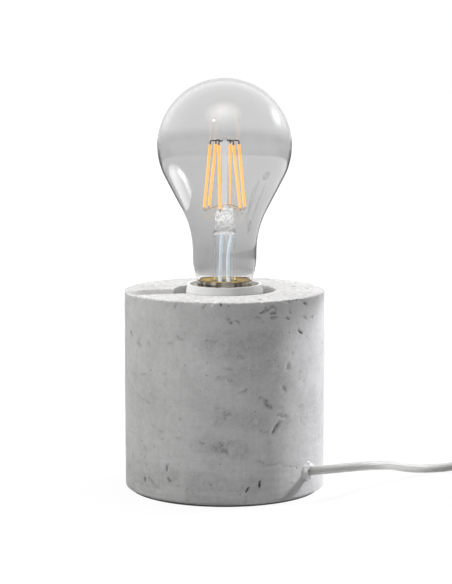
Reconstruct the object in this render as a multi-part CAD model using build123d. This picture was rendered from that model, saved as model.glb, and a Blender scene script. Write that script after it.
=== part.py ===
from build123d import *
from math import acos, cos, pi, radians, sin, sqrt, tan
import os

# Concrete desk lamp with a bare globe bulb. Millimetres, +Z up, table at z = 0.
# The lamp's axis is x = y = 0 and the viewer of the photo stands at -Y.

os.makedirs("parts", exist_ok=True)

# Allowances that serve every piece: cutters run past the faces that they cut, and an arc
# of a bent tube takes this share of the shorter run beside its corner
cut_overrun = 1.0
corner_share = 0.45

# Felt disc under the base
felt_thickness = 1.0
felt_inset = 2.5

# Concrete base
base_diameter = 100.0
base_height = 99.0
base_top_round = 0.8
base_bottom_round = 1.5
well_diameter = 51.0
well_mouth_round = 0.6
web_thickness = 21.0
recess_diameter = 60.0

# Scoop cut in the top face, from the well to the rim
scoop_angle = 198.0
scoop_width = 18.0
scoop_depth = 3.6
scoop_run_out = 9.0
scoop_rim_dip = 0.3

# Cord channel, a bore lined with a plastic conduit
exit_angle = -34.5
exit_height = 13.4
channel_heading = -12.0
channel_rise = 8.0
conduit_diameter = 9.0
conduit_wall = 1.0
conduit_proud = 0.5
conduit_clearance = 0.1
channel_overrun = 6.0
channel_outside = 12.0

# Supply cord
cord_diameter = 4.4
cord_hole_clearance = 0.1
cord_straight = 13.0
core_diameter = 2.0
sheath_proud = 0.5
stop_width = 2.5
stop_thickness = 1.2
stop_head = 5.0
stop_gap = 0.3
stop_fit = 0.05
bend_lead = 1.0

# Lampholder
holder_proud = 2.9
holder_diameter = 38.6
holder_rim_diameter = 36.8
holder_rim_taper = 3.6
shroud_bore = 35.0
shroud_depth = 6.4
holder_wall = 2.2
spigot_height = 5.0
spigot_clearance = 0.1
insert_flange = 1.9
insert_body = 8.0
insert_boss = 1.0
holder_cap_taper = 6.0
holder_cap_foot = 26.0
boss_diameter = 16.0
boss_height = 11.0
holder_floor = 3.0
wiring_gap = 0.6
seat_gap = 0.1
insert_clearance = 0.2
insert_boss_clearance = 0.6

# Terminals and contacts in the lampholder
terminal_spacing = 18.0
terminal_width = 4.6
terminal_depth = 5.0
terminal_height = 6.5
terminal_screw_diameter = 2.5
terminal_screw_head = 4.0
terminal_screw_head_height = 1.5
contact_thickness = 0.5
contact_width = 6.0
contact_height = 2.5
contact_gap = 0.4
leaf_inset = 2.5
leaf_bend = 4.0
leaf_crest = 1.0
leaf_end = 3.5
side_contact_width = 4.0
side_contact_foot = 4.0
core_hole_clearance = 0.15
core_insertion = 2.0
terminal_screw_fit = 0.05
terminal_screw_gap = 0.3
lock_screw_diameter = 3.0
lock_screw_length = 4.5

# Threaded tube M10 x 1 that clamps the lampholder to the web
nipple_diameter = 10.0
nipple_bore = 8.2
nipple_hole_clearance = 0.3
nipple_fit = 0.05
washer_diameter = 22.0
washer_thickness = 1.5
nut_across_flats = 14.0
nut_thickness = 4.0
nipple_end = 1.0

# Bulb, A67 outline with an E27 cap
cap_height = 26.0
cap_proud = 2.0
cap_rim_diameter = 28.6
cap_rim_height = 1.8
cap_neck_diameter = 27.3
cap_thread_diameter = 26.1
cap_thread_top = 20.8
cap_thread_foot = 5.6
cap_foot_diameter = 21.2
cap_foot = 3.0
cap_wall = 0.45
thread_clearance = 0.4
tip_diameter = 9.6
tip_height = 0.9
thread_pitch = 3.629
thread_turns = 4
globe_diameter = 67.2
globe_rise = 66.7
neck_diameter = 32.1
neck_taper_radius = 36.0
neck_taper_rise = 12.5
throat_radius = 45.0
shoulder_angle = 27.6
glass_wall = 0.8
glass_floor_gap = 0.5
cement_thickness = 2.1
cement_drop = 0.7

# Glass stem and filaments inside the bulb
stem_diameter = 11.6
stem_wall = 1.0
stem_rise = 24.6
press_rise = 36.5
press_width = 8.7
press_thickness = 4.2
press_height = 8.0
rod_diameter = 4.0
rod_rise = 71.0
bead_diameter = 5.0
filament_count = 6
filament_diameter = 1.5
filament_top_rise = 67.4
filament_foot_rise = 36.6
filament_top_radius = 7.2
filament_foot_radius = 10.5
filament_top_angle = 7.0
filament_foot_angle = 17.7
wire_diameter = 0.6
wire_gap = 0.05
top_wire_rise = 2.0
foot_wire_rise = 1.0
lead_diameter = 1.6
lead_foot = 21.0
lead_foot_places = (-2.4, 1.9)
lead_middle_places = (-2.1, 1.5)
lead_top_places = (-1.2, 3.6)
board_width = 15.0
board_thickness = 1.2
board_foot = 6.5
board_height = 14.0
capacitor_diameter = 6.0
capacitor_height = 9.0
capacitor_lift = 2.0
capacitor_sink = 0.2

# Switch on the cord, just outside the photo
switch_x = 165.0
switch_y = 33.2
switch_length = 52.0
switch_width = 20.0
switch_corner = 7.5
switch_height = 14.5
switch_parting = 6.0
switch_edge = 2.0
switch_foot_edge = 0.6
switch_wall = 1.8
switch_cord_grip = 8.0
rocker_length = 17.6
rocker_width = 8.8
rocker_tilt = 7.0
rocker_end_clearance = 0.9
rocker_side_clearance = 0.35
rocker_height = 3.7
rocker_hollow = 0.9
rocker_skirt = 1.5
pivot_height = 9.5
pivot_diameter = 2.8
pivot_length = 1.5
pivot_fit = 0.06
hub_diameter = 4.4
cheek_thickness = 1.8
bridge_length = 13.0
bridge_width = 3.0
bridge_thickness = 0.5
switch_terminal_length = 6.0
switch_terminal_width = 5.0
switch_terminal_height = 3.4
switch_terminal_x = 8.0
switch_screw_x = 13.5
switch_screw_y = 5.6
switch_screw_diameter = 2.3
switch_screw_head = 4.2
switch_screw_head_height = 1.2
switch_screw_length = 7.0
switch_post_diameter = 4.6
screw_fit = 0.1
screw_sunk = 0.3
screw_seat_clearance = 0.2
weld = 0.5

# Put-away coil and its tie
coil_x = 224.0
coil_inner_radius = 19.0
coil_turn_pitch = 6.0
coil_half_turns = 4
coil_layers = 4
coil_layer_pitch = 5.0
tie_thickness = 0.8
tie_gap = 0.25
tie_width = 7.0
tie_side_gap = 0.6
tie_corner = 1.6

# Two-pin mains plug
plug_width = 35.3
plug_thickness = 13.7
plug_body_length = 24.0
plug_waist_width = 25.0
plug_rear_width = 15.0
plug_rear_thickness = 11.0
plug_corner = 5.0
plug_waist_share = 0.4
plug_front_share = 0.75
plug_waist_swell = 1.2
plug_lift = 0.15
relief_length = 14.0
relief_front_diameter = 9.6
relief_rear_diameter = 6.6
relief_grip = 8.0
relief_groove = 0.7
relief_rings = 4
relief_ring_share = 0.6
plug_entry_x = 176.0
pin_diameter = 4.0
pin_length = 19.0
pin_spacing = 18.6
pin_depth = 8.0
pin_nose = 1.0
pin_fit = 0.05
sleeve_diameter = 3.6
sleeve_length = 10.0
sleeve_core = 2.8

# Heights that follow from the values above
concrete_foot = felt_thickness
concrete_top = concrete_foot + base_height
holder_rim = concrete_top + holder_proud
cap_rim = holder_rim + cap_proud
tip_level = cap_rim - cap_height
insert_top = tip_level - contact_gap - contact_height
flange_top = insert_top - insert_boss
flange_foot = flange_top - insert_flange
spigot_top = flange_foot - seat_gap
holder_split = spigot_top - spigot_height
insert_foot = flange_foot - insert_body
terminal_foot = insert_foot - terminal_height
boss_top = terminal_foot - wiring_gap
well_floor = boss_top - boss_height
recess_ceiling = well_floor - web_thickness
nut_foot = recess_ceiling - washer_thickness - nut_thickness
nipple_foot = nut_foot - nipple_end
nipple_top = boss_top - nipple_end

base_radius = base_diameter / 2
cord_radius = cord_diameter / 2
holder_radius = holder_diameter / 2
spigot_radius = holder_radius - holder_wall
thread_radius = cap_thread_diameter / 2 + thread_clearance
coil_rim = coil_inner_radius + coil_half_turns * coil_turn_pitch / 2
coil_y = switch_y - coil_rim
coil_floor = tie_thickness + tie_gap + cord_radius
coil_top = coil_floor + (coil_layers - 1) * coil_layer_pitch
plug_y = coil_y - coil_rim
plug_z = plug_lift + plug_thickness / 2
switch_left = switch_x - switch_length / 2
switch_right = switch_x + switch_length / 2

# Where the cord leaves the concrete, and which way it points there
exit_point = Vector(
    base_radius * cos(radians(exit_angle)),
    base_radius * sin(radians(exit_angle)),
    exit_height,
)
exit_direction = Vector(
    cos(radians(channel_rise)) * cos(radians(channel_heading)),
    cos(radians(channel_rise)) * sin(radians(channel_heading)),
    sin(radians(channel_rise)),
)

# Hand-chosen route of the cord from its exit to the switch
lamp_cord_points = [
    exit_point,
    exit_point + exit_direction * cord_straight,
    Vector(67.5, -27.5, 15.8),
    Vector(78.5, -16.5, 13.8),
    Vector(86.0, 0.5, 9.8),
    Vector(95.0, 14.5, 5.3),
    Vector(105.5, 26.5, 2.5),
    Vector(119.5, 32.0, 2.4),
    Vector(134.0, switch_y, switch_parting),
    Vector(switch_left + switch_cord_grip, switch_y, switch_parting),
]

# From the switch to the coil's first turn, then from its last turn to the plug
coil_lead_points = [
    Vector(switch_right - switch_cord_grip, switch_y, switch_parting),
    Vector(196.5, switch_y, switch_parting),
    Vector(210.5, switch_y, coil_floor),
    Vector(coil_x, switch_y, coil_floor),
]
plug_lead_points = [
    Vector(coil_x, plug_y, coil_top),
    Vector(209.0, plug_y, coil_top),
    Vector(190.0, plug_y, plug_z),
    Vector(plug_entry_x - relief_grip, plug_y, plug_z),
]


def turned(points):
    """Solid of revolution about Z of a closed outline of (radius, height) points."""
    return revolve(Plane.XZ * make_face(Polyline(*points, close=True)), axis=Axis.Z)


def rod(radius, foot, top):
    """Upright round bar on the Z axis between two heights."""
    bar = Cylinder(radius, top - foot, align=(Align.CENTER, Align.CENTER, Align.MIN))
    return Pos(0, 0, foot) * bar


def bar_between(start, end, radius):
    """Straight round bar between two points."""
    line = Line(start, end)
    return sweep(Plane(origin=line @ 0, z_dir=line % 0) * Circle(radius), path=line)


def corner_radii(points):
    """Radius at each corner: corner_share x shorter run / tan(half the turn)."""
    radii = []
    for before, corner, after in zip(points, points[1:], points[2:]):
        run_in = corner - before
        run_out = after - corner
        cosine = run_in.dot(run_out) / (run_in.length * run_out.length)
        turn = acos(max(-1.0, min(1.0, cosine)))
        radii.append(corner_share * min(run_in.length, run_out.length) / tan(turn / 2))
    return radii


def tube(points, radius, label):
    """Round tube along straight runs joined by tangent arcs; prints how it came out."""
    radii = corner_radii(points)
    path = FilletPolyline(*points, radius=radii)
    section = Plane(origin=path @ 0, z_dir=path % 0) * Circle(radius)
    solid = sweep(section, path=path)
    share = solid.volume / (pi * radius**2 * path.length)
    smallest = min(radii)
    print(f"{label}: length {path.length:.1f}, least radius {smallest:.1f}, volume {share:.4f}")
    return solid


def save(shape, node):
    """One STEP file for each node."""
    export_step(shape, f"parts/{node}.step")


# The felt disc the lamp stands on
felt_radius = base_radius - felt_inset
save(rod(felt_radius, 0, felt_thickness), "felt_disc")

# Concrete: turned outline with well, web and underside recess
web_hole = nipple_diameter / 2 + nipple_hole_clearance
recess_radius = recess_diameter / 2
well_radius = well_diameter / 2
base_outline = FilletPolyline(
    (web_hole, recess_ceiling),
    (recess_radius, recess_ceiling),
    (recess_radius, concrete_foot),
    (base_radius, concrete_foot),
    (base_radius, concrete_top),
    (well_radius, concrete_top),
    (well_radius, well_floor),
    (web_hole, well_floor),
    radius=[0, 0, 0, base_bottom_round, base_top_round, well_mouth_round, 0, 0],
    close=True,
)
concrete = revolve(Plane.XZ * make_face(base_outline), axis=Axis.Z)

# Scoop: outline in the radial plane, drawn out to the scoop's width
scoop_plane = Plane(
    origin=(0, 0, 0),
    x_dir=(cos(radians(scoop_angle)), sin(radians(scoop_angle)), 0),
    z_dir=(sin(radians(scoop_angle)), -cos(radians(scoop_angle)), 0),
)
scoop_start = well_radius - 3 * cut_overrun
scoop_outline = FilletPolyline(
    (scoop_start, concrete_top + cut_overrun),
    (base_radius + cut_overrun, concrete_top + cut_overrun),
    (base_radius + cut_overrun, concrete_top - scoop_rim_dip),
    (base_radius - scoop_run_out, concrete_top - scoop_depth),
    (scoop_start, concrete_top - scoop_depth),
    radius=[0, 0, 0, scoop_run_out, 0],
    close=True,
)
scoop = extrude(scoop_plane * make_face(scoop_outline), amount=scoop_width / 2, both=True)
concrete = concrete - scoop

# Cord channel from the side into the recess, lined by the conduit
conduit_radius = conduit_diameter / 2
channel_radius = conduit_radius + conduit_clearance
skew = radians(channel_heading - exit_angle)
channel_along = base_radius * cos(skew)
channel_aside = base_radius * sin(skew)
channel_run = channel_along - sqrt(recess_radius**2 - (channel_aside + channel_radius) ** 2)
channel_length = channel_run / cos(radians(channel_rise))
towards_axis = Vector(-sin(radians(channel_heading)), cos(radians(channel_heading)), 0)
channel_plane = Plane(origin=exit_point, x_dir=towards_axis, z_dir=exit_direction)
inward = (Align.CENTER, Align.CENTER, Align.MIN)
bore_length = channel_length + channel_overrun + channel_outside
channel_bore = Cylinder(channel_radius, bore_length, align=inward)
concrete = concrete - channel_plane * Pos(0, 0, -channel_length - channel_overrun) * channel_bore
save(concrete, "concrete_base")

conduit_length = channel_length + channel_outside
conduit_bar = Cylinder(conduit_radius, conduit_length, align=inward)
conduit_hole = Cylinder(conduit_radius - conduit_wall, conduit_length, align=inward)
conduit = channel_plane * Pos(0, 0, -channel_length) * (conduit_bar - conduit_hole)
conduit = conduit & rod(base_radius + conduit_proud, 0, concrete_top)
save(conduit, "cord_conduit")

# Cord inside the base: along the channel, past the cord stop, to the axis and up the tube.
# Its bend takes a share of the way that is left to the axis, so it starts beyond the stop.
stop_start = channel_length + stop_gap
stop_end = stop_start + stop_width
axis_along = channel_along / cos(radians(channel_rise))
axis_reach = sqrt((axis_along - stop_end) ** 2 + channel_aside**2)
bend_along = stop_end + bend_lead + corner_share * axis_reach
bend_point = exit_point - exit_direction * bend_along
sheath_top = nipple_top + sheath_proud
inner_points = [
    exit_point,
    bend_point,
    Vector(0, 0, bend_point.Z),
    Vector(0, 0, sheath_top),
]
save(tube(inner_points, cord_radius, "inner_cord"), "inner_cord")

# Cable tie that stops the cord from being pulled out through the conduit
stop_ring = Cylinder(cord_radius + stop_thickness, stop_width, align=inward)
stop_block = Box(stop_head, stop_head, stop_width, align=inward)
stop_block = Pos(cord_radius + stop_head / 2, 0, 0) * stop_block
stop_bore = Cylinder(cord_radius + stop_fit, stop_width, align=inward)
cord_stop = channel_plane * Pos(0, 0, -stop_end) * (stop_ring + stop_block - stop_bore)
save(cord_stop, "cord_stop")

# Threaded tube, washer and nut
nipple_radius = nipple_diameter / 2
nipple = rod(nipple_radius, nipple_foot, nipple_top)
nipple = nipple - rod(nipple_bore / 2, nipple_foot, nipple_top)
save(nipple, "threaded_nipple")
washer_foot = recess_ceiling - washer_thickness
washer = rod(washer_diameter / 2, washer_foot, recess_ceiling)
washer = washer - rod(web_hole, washer_foot, recess_ceiling)
save(washer, "nipple_washer")
hexagon = RegularPolygon(nut_across_flats / 2, 6, major_radius=False)
nut = Pos(0, 0, nut_foot) * extrude(hexagon, amount=nut_thickness)
nut = nut - rod(nipple_radius + nipple_fit, nut_foot, washer_foot)
save(nut, "nipple_nut")

# Lampholder, lower shell with the boss for the threaded tube
boss_radius = boss_diameter / 2
boss_bore = nipple_radius + nipple_fit
cap_inner = spigot_radius - holder_wall
holder_cap = turned(
    [
        (boss_bore, well_floor),
        (holder_cap_foot / 2, well_floor),
        (holder_radius, well_floor + holder_cap_taper),
        (holder_radius, holder_split),
        (spigot_radius, holder_split),
        (spigot_radius, spigot_top),
        (cap_inner, spigot_top),
        (cap_inner, well_floor + holder_cap_taper),
        (holder_cap_foot / 2 - 1, well_floor + holder_floor),
        (boss_radius, well_floor + holder_floor),
        (boss_radius, boss_top),
        (boss_bore, boss_top),
    ]
)
lock_height = well_floor + holder_floor + (boss_height - holder_floor) / 2
lock_frame = Plane(origin=(0, 0, lock_height), z_dir=(0, 1, 0))
lock_reach = boss_radius + cut_overrun
lock_hole = Cylinder(lock_screw_diameter / 2 + nipple_fit, lock_reach, align=inward)
holder_cap = holder_cap - lock_frame * lock_hole
save(holder_cap, "holder_cap")
lock_screw = Cylinder(lock_screw_diameter / 2, lock_screw_length, align=inward)
save(lock_frame * Pos(0, 0, nipple_radius + seat_gap) * lock_screw, "lock_screw")

# Lampholder, upper shell with the screw bore and the shroud round it
shroud_floor = holder_rim - shroud_depth
skirt_bore = spigot_radius + spigot_clearance
holder_skirt = turned(
    [
        (skirt_bore, holder_split),
        (holder_radius, holder_split),
        (holder_radius, holder_rim - holder_rim_taper),
        (holder_rim_diameter / 2, holder_rim),
        (shroud_bore / 2, holder_rim),
        (shroud_bore / 2, shroud_floor),
        (thread_radius, shroud_floor),
        (thread_radius, flange_top + seat_gap),
        (skirt_bore, flange_top + seat_gap),
    ]
)
save(holder_skirt, "holder_skirt")

# Insert that carries the contacts, clamped between the two shells
insert_radius = skirt_bore - insert_clearance
insert_body_radius = cap_inner - insert_clearance
insert_boss_radius = thread_radius - insert_boss_clearance
terminal_insert = turned(
    [
        (0, insert_foot),
        (insert_body_radius, insert_foot),
        (insert_body_radius, flange_foot),
        (insert_radius, flange_foot),
        (insert_radius, flange_top),
        (insert_boss_radius, flange_top),
        (insert_boss_radius, insert_top),
        (0, insert_top),
    ]
)
save(terminal_insert, "terminal_insert")

# Spring leaf under the bulb's tip, bent up from a foot on the insert
leaf_foot = leaf_inset - insert_boss_radius
leaf_slant = 0.4 * contact_thickness
leaf_outline = Polyline(
    (leaf_foot, insert_top),
    (-leaf_bend, insert_top),
    (-leaf_crest, insert_top + contact_height - contact_thickness),
    (leaf_end, insert_top + contact_height - contact_thickness),
    (leaf_end, insert_top + contact_height),
    (-leaf_crest - leaf_slant, insert_top + contact_height),
    (-leaf_bend - leaf_slant, insert_top + contact_thickness),
    (leaf_foot, insert_top + contact_thickness),
    close=True,
)
centre_contact = extrude(Plane.XZ * make_face(leaf_outline), amount=contact_width / 2, both=True)
save(centre_contact, "centre_contact")

# Leaf that stands under the edge of the bulb's shell
leaf_top = tip_level + cap_foot - contact_gap
leaf_reach = cap_foot_diameter / 2 - seat_gap
side_foot = leaf_reach - side_contact_foot
side_outline = Polyline(
    (side_foot, insert_top),
    (leaf_reach + contact_thickness, insert_top),
    (leaf_reach + contact_thickness, leaf_top),
    (leaf_reach, leaf_top),
    (leaf_reach, insert_top + contact_thickness),
    (side_foot, insert_top + contact_thickness),
    close=True,
)
side_contact = extrude(Plane.XZ * make_face(side_outline), amount=side_contact_width / 2, both=True)
save(side_contact, "side_contact")

# Terminal blocks under the insert, each with a wire hole and a clamping screw
core_radius = core_diameter / 2
core_level = terminal_foot + terminal_height / 2
core_reach = terminal_spacing / 2 - terminal_width / 2
core_hole = core_radius + core_hole_clearance
screw_radius = terminal_screw_diameter / 2
blocks = []
block_screws = []
for side in (-1, 1):
    centre = Vector(side * terminal_spacing / 2, 0, core_level)
    block = Pos(centre) * Box(terminal_width, terminal_depth, terminal_height)
    wire_stop = centre + Vector(side * terminal_width / 9, 0, 0)
    wire_hole = bar_between(Vector(0, 0, core_level), wire_stop, core_hole)
    front = centre - Vector(0, terminal_depth / 2, 0)
    screw_end = centre - Vector(0, core_radius + terminal_screw_gap, 0)
    screw_start = front - Vector(0, cut_overrun, 0)
    screw_hole = bar_between(screw_start, screw_end, screw_radius + terminal_screw_fit)
    blocks.append(block - wire_hole - screw_hole)
    head_front = front - Vector(0, terminal_screw_head_height, 0)
    shank = bar_between(front, screw_end, screw_radius)
    head = bar_between(head_front, front, terminal_screw_head / 2)
    block_screws.append(shank + head)
save(Compound(children=blocks), "terminal_blocks")
save(Compound(children=block_screws), "terminal_screws")

# Two insulated cores from the end of the sheath to the terminals
for side, node in ((-1, "core_brown"), (1, "core_blue")):
    start_x = side * (core_radius + seat_gap)
    core_points = [
        Vector(start_x, 0, sheath_top),
        Vector(start_x, 0, sheath_top + core_diameter),
        Vector(side * (core_reach - 1.25 * core_insertion), 0, core_level),
        Vector(side * (core_reach + core_insertion), 0, core_level),
    ]
    save(tube(core_points, core_radius, node), node)

# Bulb cap: thin shell, plain at the crests of its thread
rim_radius = cap_rim_diameter / 2
shell_outer = [
    (cap_foot_diameter / 2, tip_level + cap_foot),
    (cap_thread_diameter / 2, tip_level + cap_thread_foot),
    (cap_thread_diameter / 2, tip_level + cap_thread_top),
    (cap_neck_diameter / 2, tip_level + cap_thread_top + 0.6),
    (cap_neck_diameter / 2, cap_rim - cap_rim_height - 1.0),
    (rim_radius, cap_rim - cap_rim_height),
    (rim_radius, cap_rim),
]
shell_inner = [(radius - cap_wall, height) for radius, height in reversed(shell_outer)]
save(turned(shell_outer + shell_inner), "cap_shell")

# Black glass between the shell and the tip
tip_radius = tip_diameter / 2
tip_stem = 1.2
insulator_foot = tip_level + tip_height
insulator_rim = cap_foot_diameter / 2 - cap_wall - 0.1
insulator = turned(
    [
        (tip_stem + 0.1, insulator_foot),
        (tip_radius + 0.4, insulator_foot),
        (insulator_rim, tip_level + cap_foot),
        (insulator_rim, tip_level + cap_foot + 1.0),
        (tip_stem + 0.1, tip_level + cap_foot + 1.0),
    ]
)
save(insulator, "cap_insulator")

# Contact button on the end of the cap
tip = turned(
    [
        (0, tip_level),
        (tip_radius - 1.6, tip_level),
        (tip_radius, tip_level + tip_height * 0.6),
        (tip_radius, insulator_foot),
        (tip_stem, insulator_foot),
        (tip_stem, tip_level + cap_foot),
        (0, tip_level + cap_foot),
    ]
)
save(tip, "bulb_tip_contact")

# Gold-coloured cement floor in the cap's rim
stem_radius = stem_diameter / 2
seal_radius = stem_radius + 0.4
cement_top = cap_rim - cement_drop
cement_radius = cap_neck_diameter / 2 - cap_wall - 0.1
cement_foot = cement_top - cement_thickness
cement = turned(
    [
        (seal_radius, cement_foot),
        (cement_radius, cement_foot),
        (cement_radius, cement_top),
        (seal_radius, cement_top),
    ]
)
save(cement, "cap_cement")


def glass_outline(inset):
    """Half outline of the bulb from its floor to its top, moved in by inset.

    Globe arc, straight shoulder, throat arc, neck and a tapering foot, each tangent to
    the next, so the inset outline is made of the same arcs with other radii.
    """
    angle = radians(shoulder_angle)
    centre_z = cap_rim + globe_rise
    globe = globe_diameter / 2
    neck = neck_diameter / 2
    shoulder_r = globe * cos(angle)
    shoulder_z = centre_z - globe * sin(angle)
    throat_r = neck + throat_radius * (1 - cos(angle))
    throat_z = shoulder_z - (shoulder_r - throat_r) / tan(angle)
    waist_z = throat_z - throat_radius * sin(angle)
    taper_z = cap_rim + neck_taper_rise
    floor_z = cap_rim - glass_floor_gap
    drop = taper_z - (floor_z + inset)
    ring = neck_taper_radius - inset
    foot_r = neck - neck_taper_radius + sqrt(ring**2 - drop**2)
    half_drop = drop / 2
    mid_r = neck - neck_taper_radius + sqrt(ring**2 - half_drop**2)
    inner = globe - inset
    hollow = throat_radius + inset
    taper = ThreePointArc(
        (foot_r, floor_z + inset), (mid_r, taper_z - half_drop), (neck - inset, taper_z)
    )
    waist = Line((neck - inset, taper_z), (neck - inset, waist_z))
    throat = ThreePointArc(
        (neck - inset, waist_z),
        (neck + throat_radius - hollow * cos(angle / 2), waist_z + hollow * sin(angle / 2)),
        (neck + throat_radius - hollow * cos(angle), waist_z + hollow * sin(angle)),
    )
    shoulder_end = (inner * cos(angle), centre_z - inner * sin(angle))
    shoulder = Line(throat @ 1, shoulder_end)
    upper = radians(40)
    dome = ThreePointArc(
        shoulder_end,
        (inner * cos(upper), centre_z + inner * sin(upper)),
        (0, centre_z + inner),
    )
    return [taper, waist, throat, shoulder, dome]


# Glass envelope: the outer outline, then the inner one back, closed by the floor
outer_line = glass_outline(0)
inner_line = glass_outline(glass_wall)
floor_level = cap_rim - glass_floor_gap
outer_floor = Line((seal_radius, floor_level), outer_line[0] @ 0)
inner_floor = Line((seal_radius, floor_level + glass_wall), inner_line[0] @ 0)
seal_edge = Line((seal_radius, floor_level), (seal_radius, floor_level + glass_wall))
crown_edge = Line(outer_line[-1] @ 1, inner_line[-1] @ 1)
glass_face = make_face([outer_floor, *outer_line, crown_edge, *inner_line, inner_floor, seal_edge])
bulb_glass = revolve(Plane.XZ * glass_face, axis=Axis.Z)
save(bulb_glass, "bulb_glass")

# Stem: hollow flare tube, pressed part, rod and the bead on its end
tube_top = cap_rim + stem_rise
press_top = cap_rim + press_rise
press_foot = press_top - press_height
rod_top = cap_rim + rod_rise
stem_foot = cement_foot
stem = rod(stem_radius, stem_foot, tube_top)
stem = stem - rod(stem_radius - stem_wall, stem_foot, tube_top - stem_wall)
round_end = Plane.XY.offset(tube_top) * Circle(stem_radius)
press_shape = RectangleRounded(press_width, press_thickness, press_thickness * 0.45)
flat_end = Plane.XY.offset(press_foot) * press_shape
stem = stem + loft([round_end, flat_end])
stem = stem + Pos(0, 0, press_foot) * extrude(press_shape, amount=press_height)
stem = stem + rod(rod_diameter / 2, press_top - 1, rod_top - bead_diameter / 2)
stem = stem + Pos(0, 0, rod_top - bead_diameter / 2) * Sphere(bead_diameter / 2)
save(stem, "glass_stem")

# Filaments lean outwards towards their feet, with thin wires at both ends
top_level = cap_rim + filament_top_rise
foot_level = cap_rim + filament_foot_rise
bead_level = rod_top - bead_diameter / 2
wire_radius = wire_diameter / 2
filaments = []
top_wires = []
foot_wires = []
for number in range(filament_count):
    top_turn = radians(filament_top_angle + 360 / filament_count * number)
    foot_turn = radians(filament_foot_angle + 360 / filament_count * number)
    top_way = Vector(cos(top_turn), sin(top_turn), 0)
    foot_way = Vector(cos(foot_turn), sin(foot_turn), 0)
    top_end = top_way * filament_top_radius + Vector(0, 0, top_level)
    foot_end = foot_way * filament_foot_radius + Vector(0, 0, foot_level)
    filaments.append(bar_between(foot_end, top_end, filament_diameter / 2))
    along = (top_end - foot_end).normalized()
    foot_tip = foot_end - along * wire_gap
    top_tip = top_end + along * wire_gap
    wire_level = top_level + top_wire_rise
    bead_reach = sqrt((bead_diameter / 2) ** 2 - (wire_level - bead_level) ** 2)
    wire_start = top_way * (bead_reach + wire_gap + 0.2) + Vector(0, 0, wire_level)
    top_knee = top_way * filament_top_radius + Vector(0, 0, wire_level)
    top_wires.append(tube([wire_start, top_knee, top_tip], wire_radius, f"top wire {number}"))
    foot_rise = Vector(0, 0, press_top + wire_radius + foot_wire_rise)
    foot_start = foot_way * (rod_diameter / 2 + wire_gap + 0.2) + foot_rise
    foot_knee = foot_tip - along * 1.6
    foot_wires.append(tube([foot_start, foot_knee, foot_tip], wire_radius, f"foot wire {number}"))
save(Compound(children=filaments), "led_filaments")
save(Compound(children=top_wires), "filament_top_wires")
save(Compound(children=foot_wires), "filament_foot_wires")

# Sleeved leads from the driver up the flare tube
lead_start = tip_level + lead_foot
leads = []
for foot_x, middle_x, top_x in zip(lead_foot_places, lead_middle_places, lead_top_places):
    lead_points = [
        Vector(foot_x, 0, lead_start),
        Vector(middle_x, 0, cap_rim + stem_rise / 2),
        Vector(top_x, 0, tube_top - stem_wall - 0.1),
    ]
    leads.append(tube(lead_points, lead_diameter / 2, f"lead {foot_x}"))
save(Compound(children=leads), "lead_wires")

# Driver board upright in the cap, with a capacitor on it
board_level = tip_level + board_foot
board = Pos(0, 0, board_level) * Box(board_width, board_thickness, board_height, align=inward)
capacitor_foot = board_level + capacitor_lift
capacitor = rod(capacitor_diameter / 2, capacitor_foot, capacitor_foot + capacitor_height)
capacitor_y = board_thickness / 2 + capacitor_diameter / 2 - capacitor_sink
board = board + Pos(0, capacitor_y, 0) * capacitor
save(board, "driver_board")

# Free cord from the lamp to the switch, from the switch to the coil, and to the plug
save(tube(lamp_cord_points, cord_radius, "lamp_cord"), "lamp_cord")
save(tube(coil_lead_points, cord_radius, "coil_lead"), "coil_lead")
save(tube(plug_lead_points, cord_radius, "plug_lead"), "plug_lead")


def coil_path():
    """One line through the whole coil, made of half turns seen clockwise from above.

    Each half turn ends straight across, half a turn pitch nearer or further out. Where
    the spiral reverses, the half turn is two quarters with its knee at
    sqrt(radius^2 + rise^2 / 4), which keeps both ends level while it climbs one layer.
    """
    arcs = []
    side = 1
    radius = coil_rim
    level = coil_floor
    here = Vector(coil_x, coil_y + radius, level)
    for layer in range(coil_layers):
        step = -coil_turn_pitch / 2 if layer % 2 == 0 else coil_turn_pitch / 2
        for _ in range(coil_half_turns):
            radius += step
            there = Vector(coil_x, coil_y - side * radius, level)
            arcs.append(TangentArc(here, there, tangent=(side, 0, 0)))
            here = there
            side = -side
        if layer < coil_layers - 1:
            knee_reach = side * sqrt(radius**2 + coil_layer_pitch**2 / 4)
            knee = Vector(coil_x + knee_reach, coil_y, level + coil_layer_pitch / 2)
            level += coil_layer_pitch
            there = Vector(coil_x, coil_y - side * radius, level)
            first = TangentArc(here, knee, tangent=(side, 0, 0))
            arcs.append(first)
            arcs.append(TangentArc(knee, there, tangent=first % 1))
            here = there
            side = -side
    return Wire(arcs)


coil_line = coil_path()
coil_section = Plane(origin=coil_line @ 0, z_dir=coil_line % 0) * Circle(cord_radius)
cord_coil = sweep(coil_section, path=coil_line)
coil_share = cord_coil.volume / (pi * cord_radius**2 * coil_line.length)
print(f"cord_coil: length {coil_line.length:.1f}, volume {coil_share:.4f}")
samples = int(coil_line.length / 2.0)
coil_spots = [tuple(coil_line @ (k / samples)) for k in range(samples + 1)]
apart = int(4 * cord_diameter / 2.0)
least = 1e9
for first_spot in range(samples + 1):
    x1, y1, z1 = coil_spots[first_spot]
    for second_spot in range(first_spot + apart, samples + 1):
        x2, y2, z2 = coil_spots[second_spot]
        least = min(least, (x1 - x2) ** 2 + (y1 - y2) ** 2 + (z1 - z2) ** 2)
print(f"cord_coil: least gap to itself {sqrt(least) - cord_diameter:.2f}")
save(cord_coil, "cord_coil")

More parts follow.
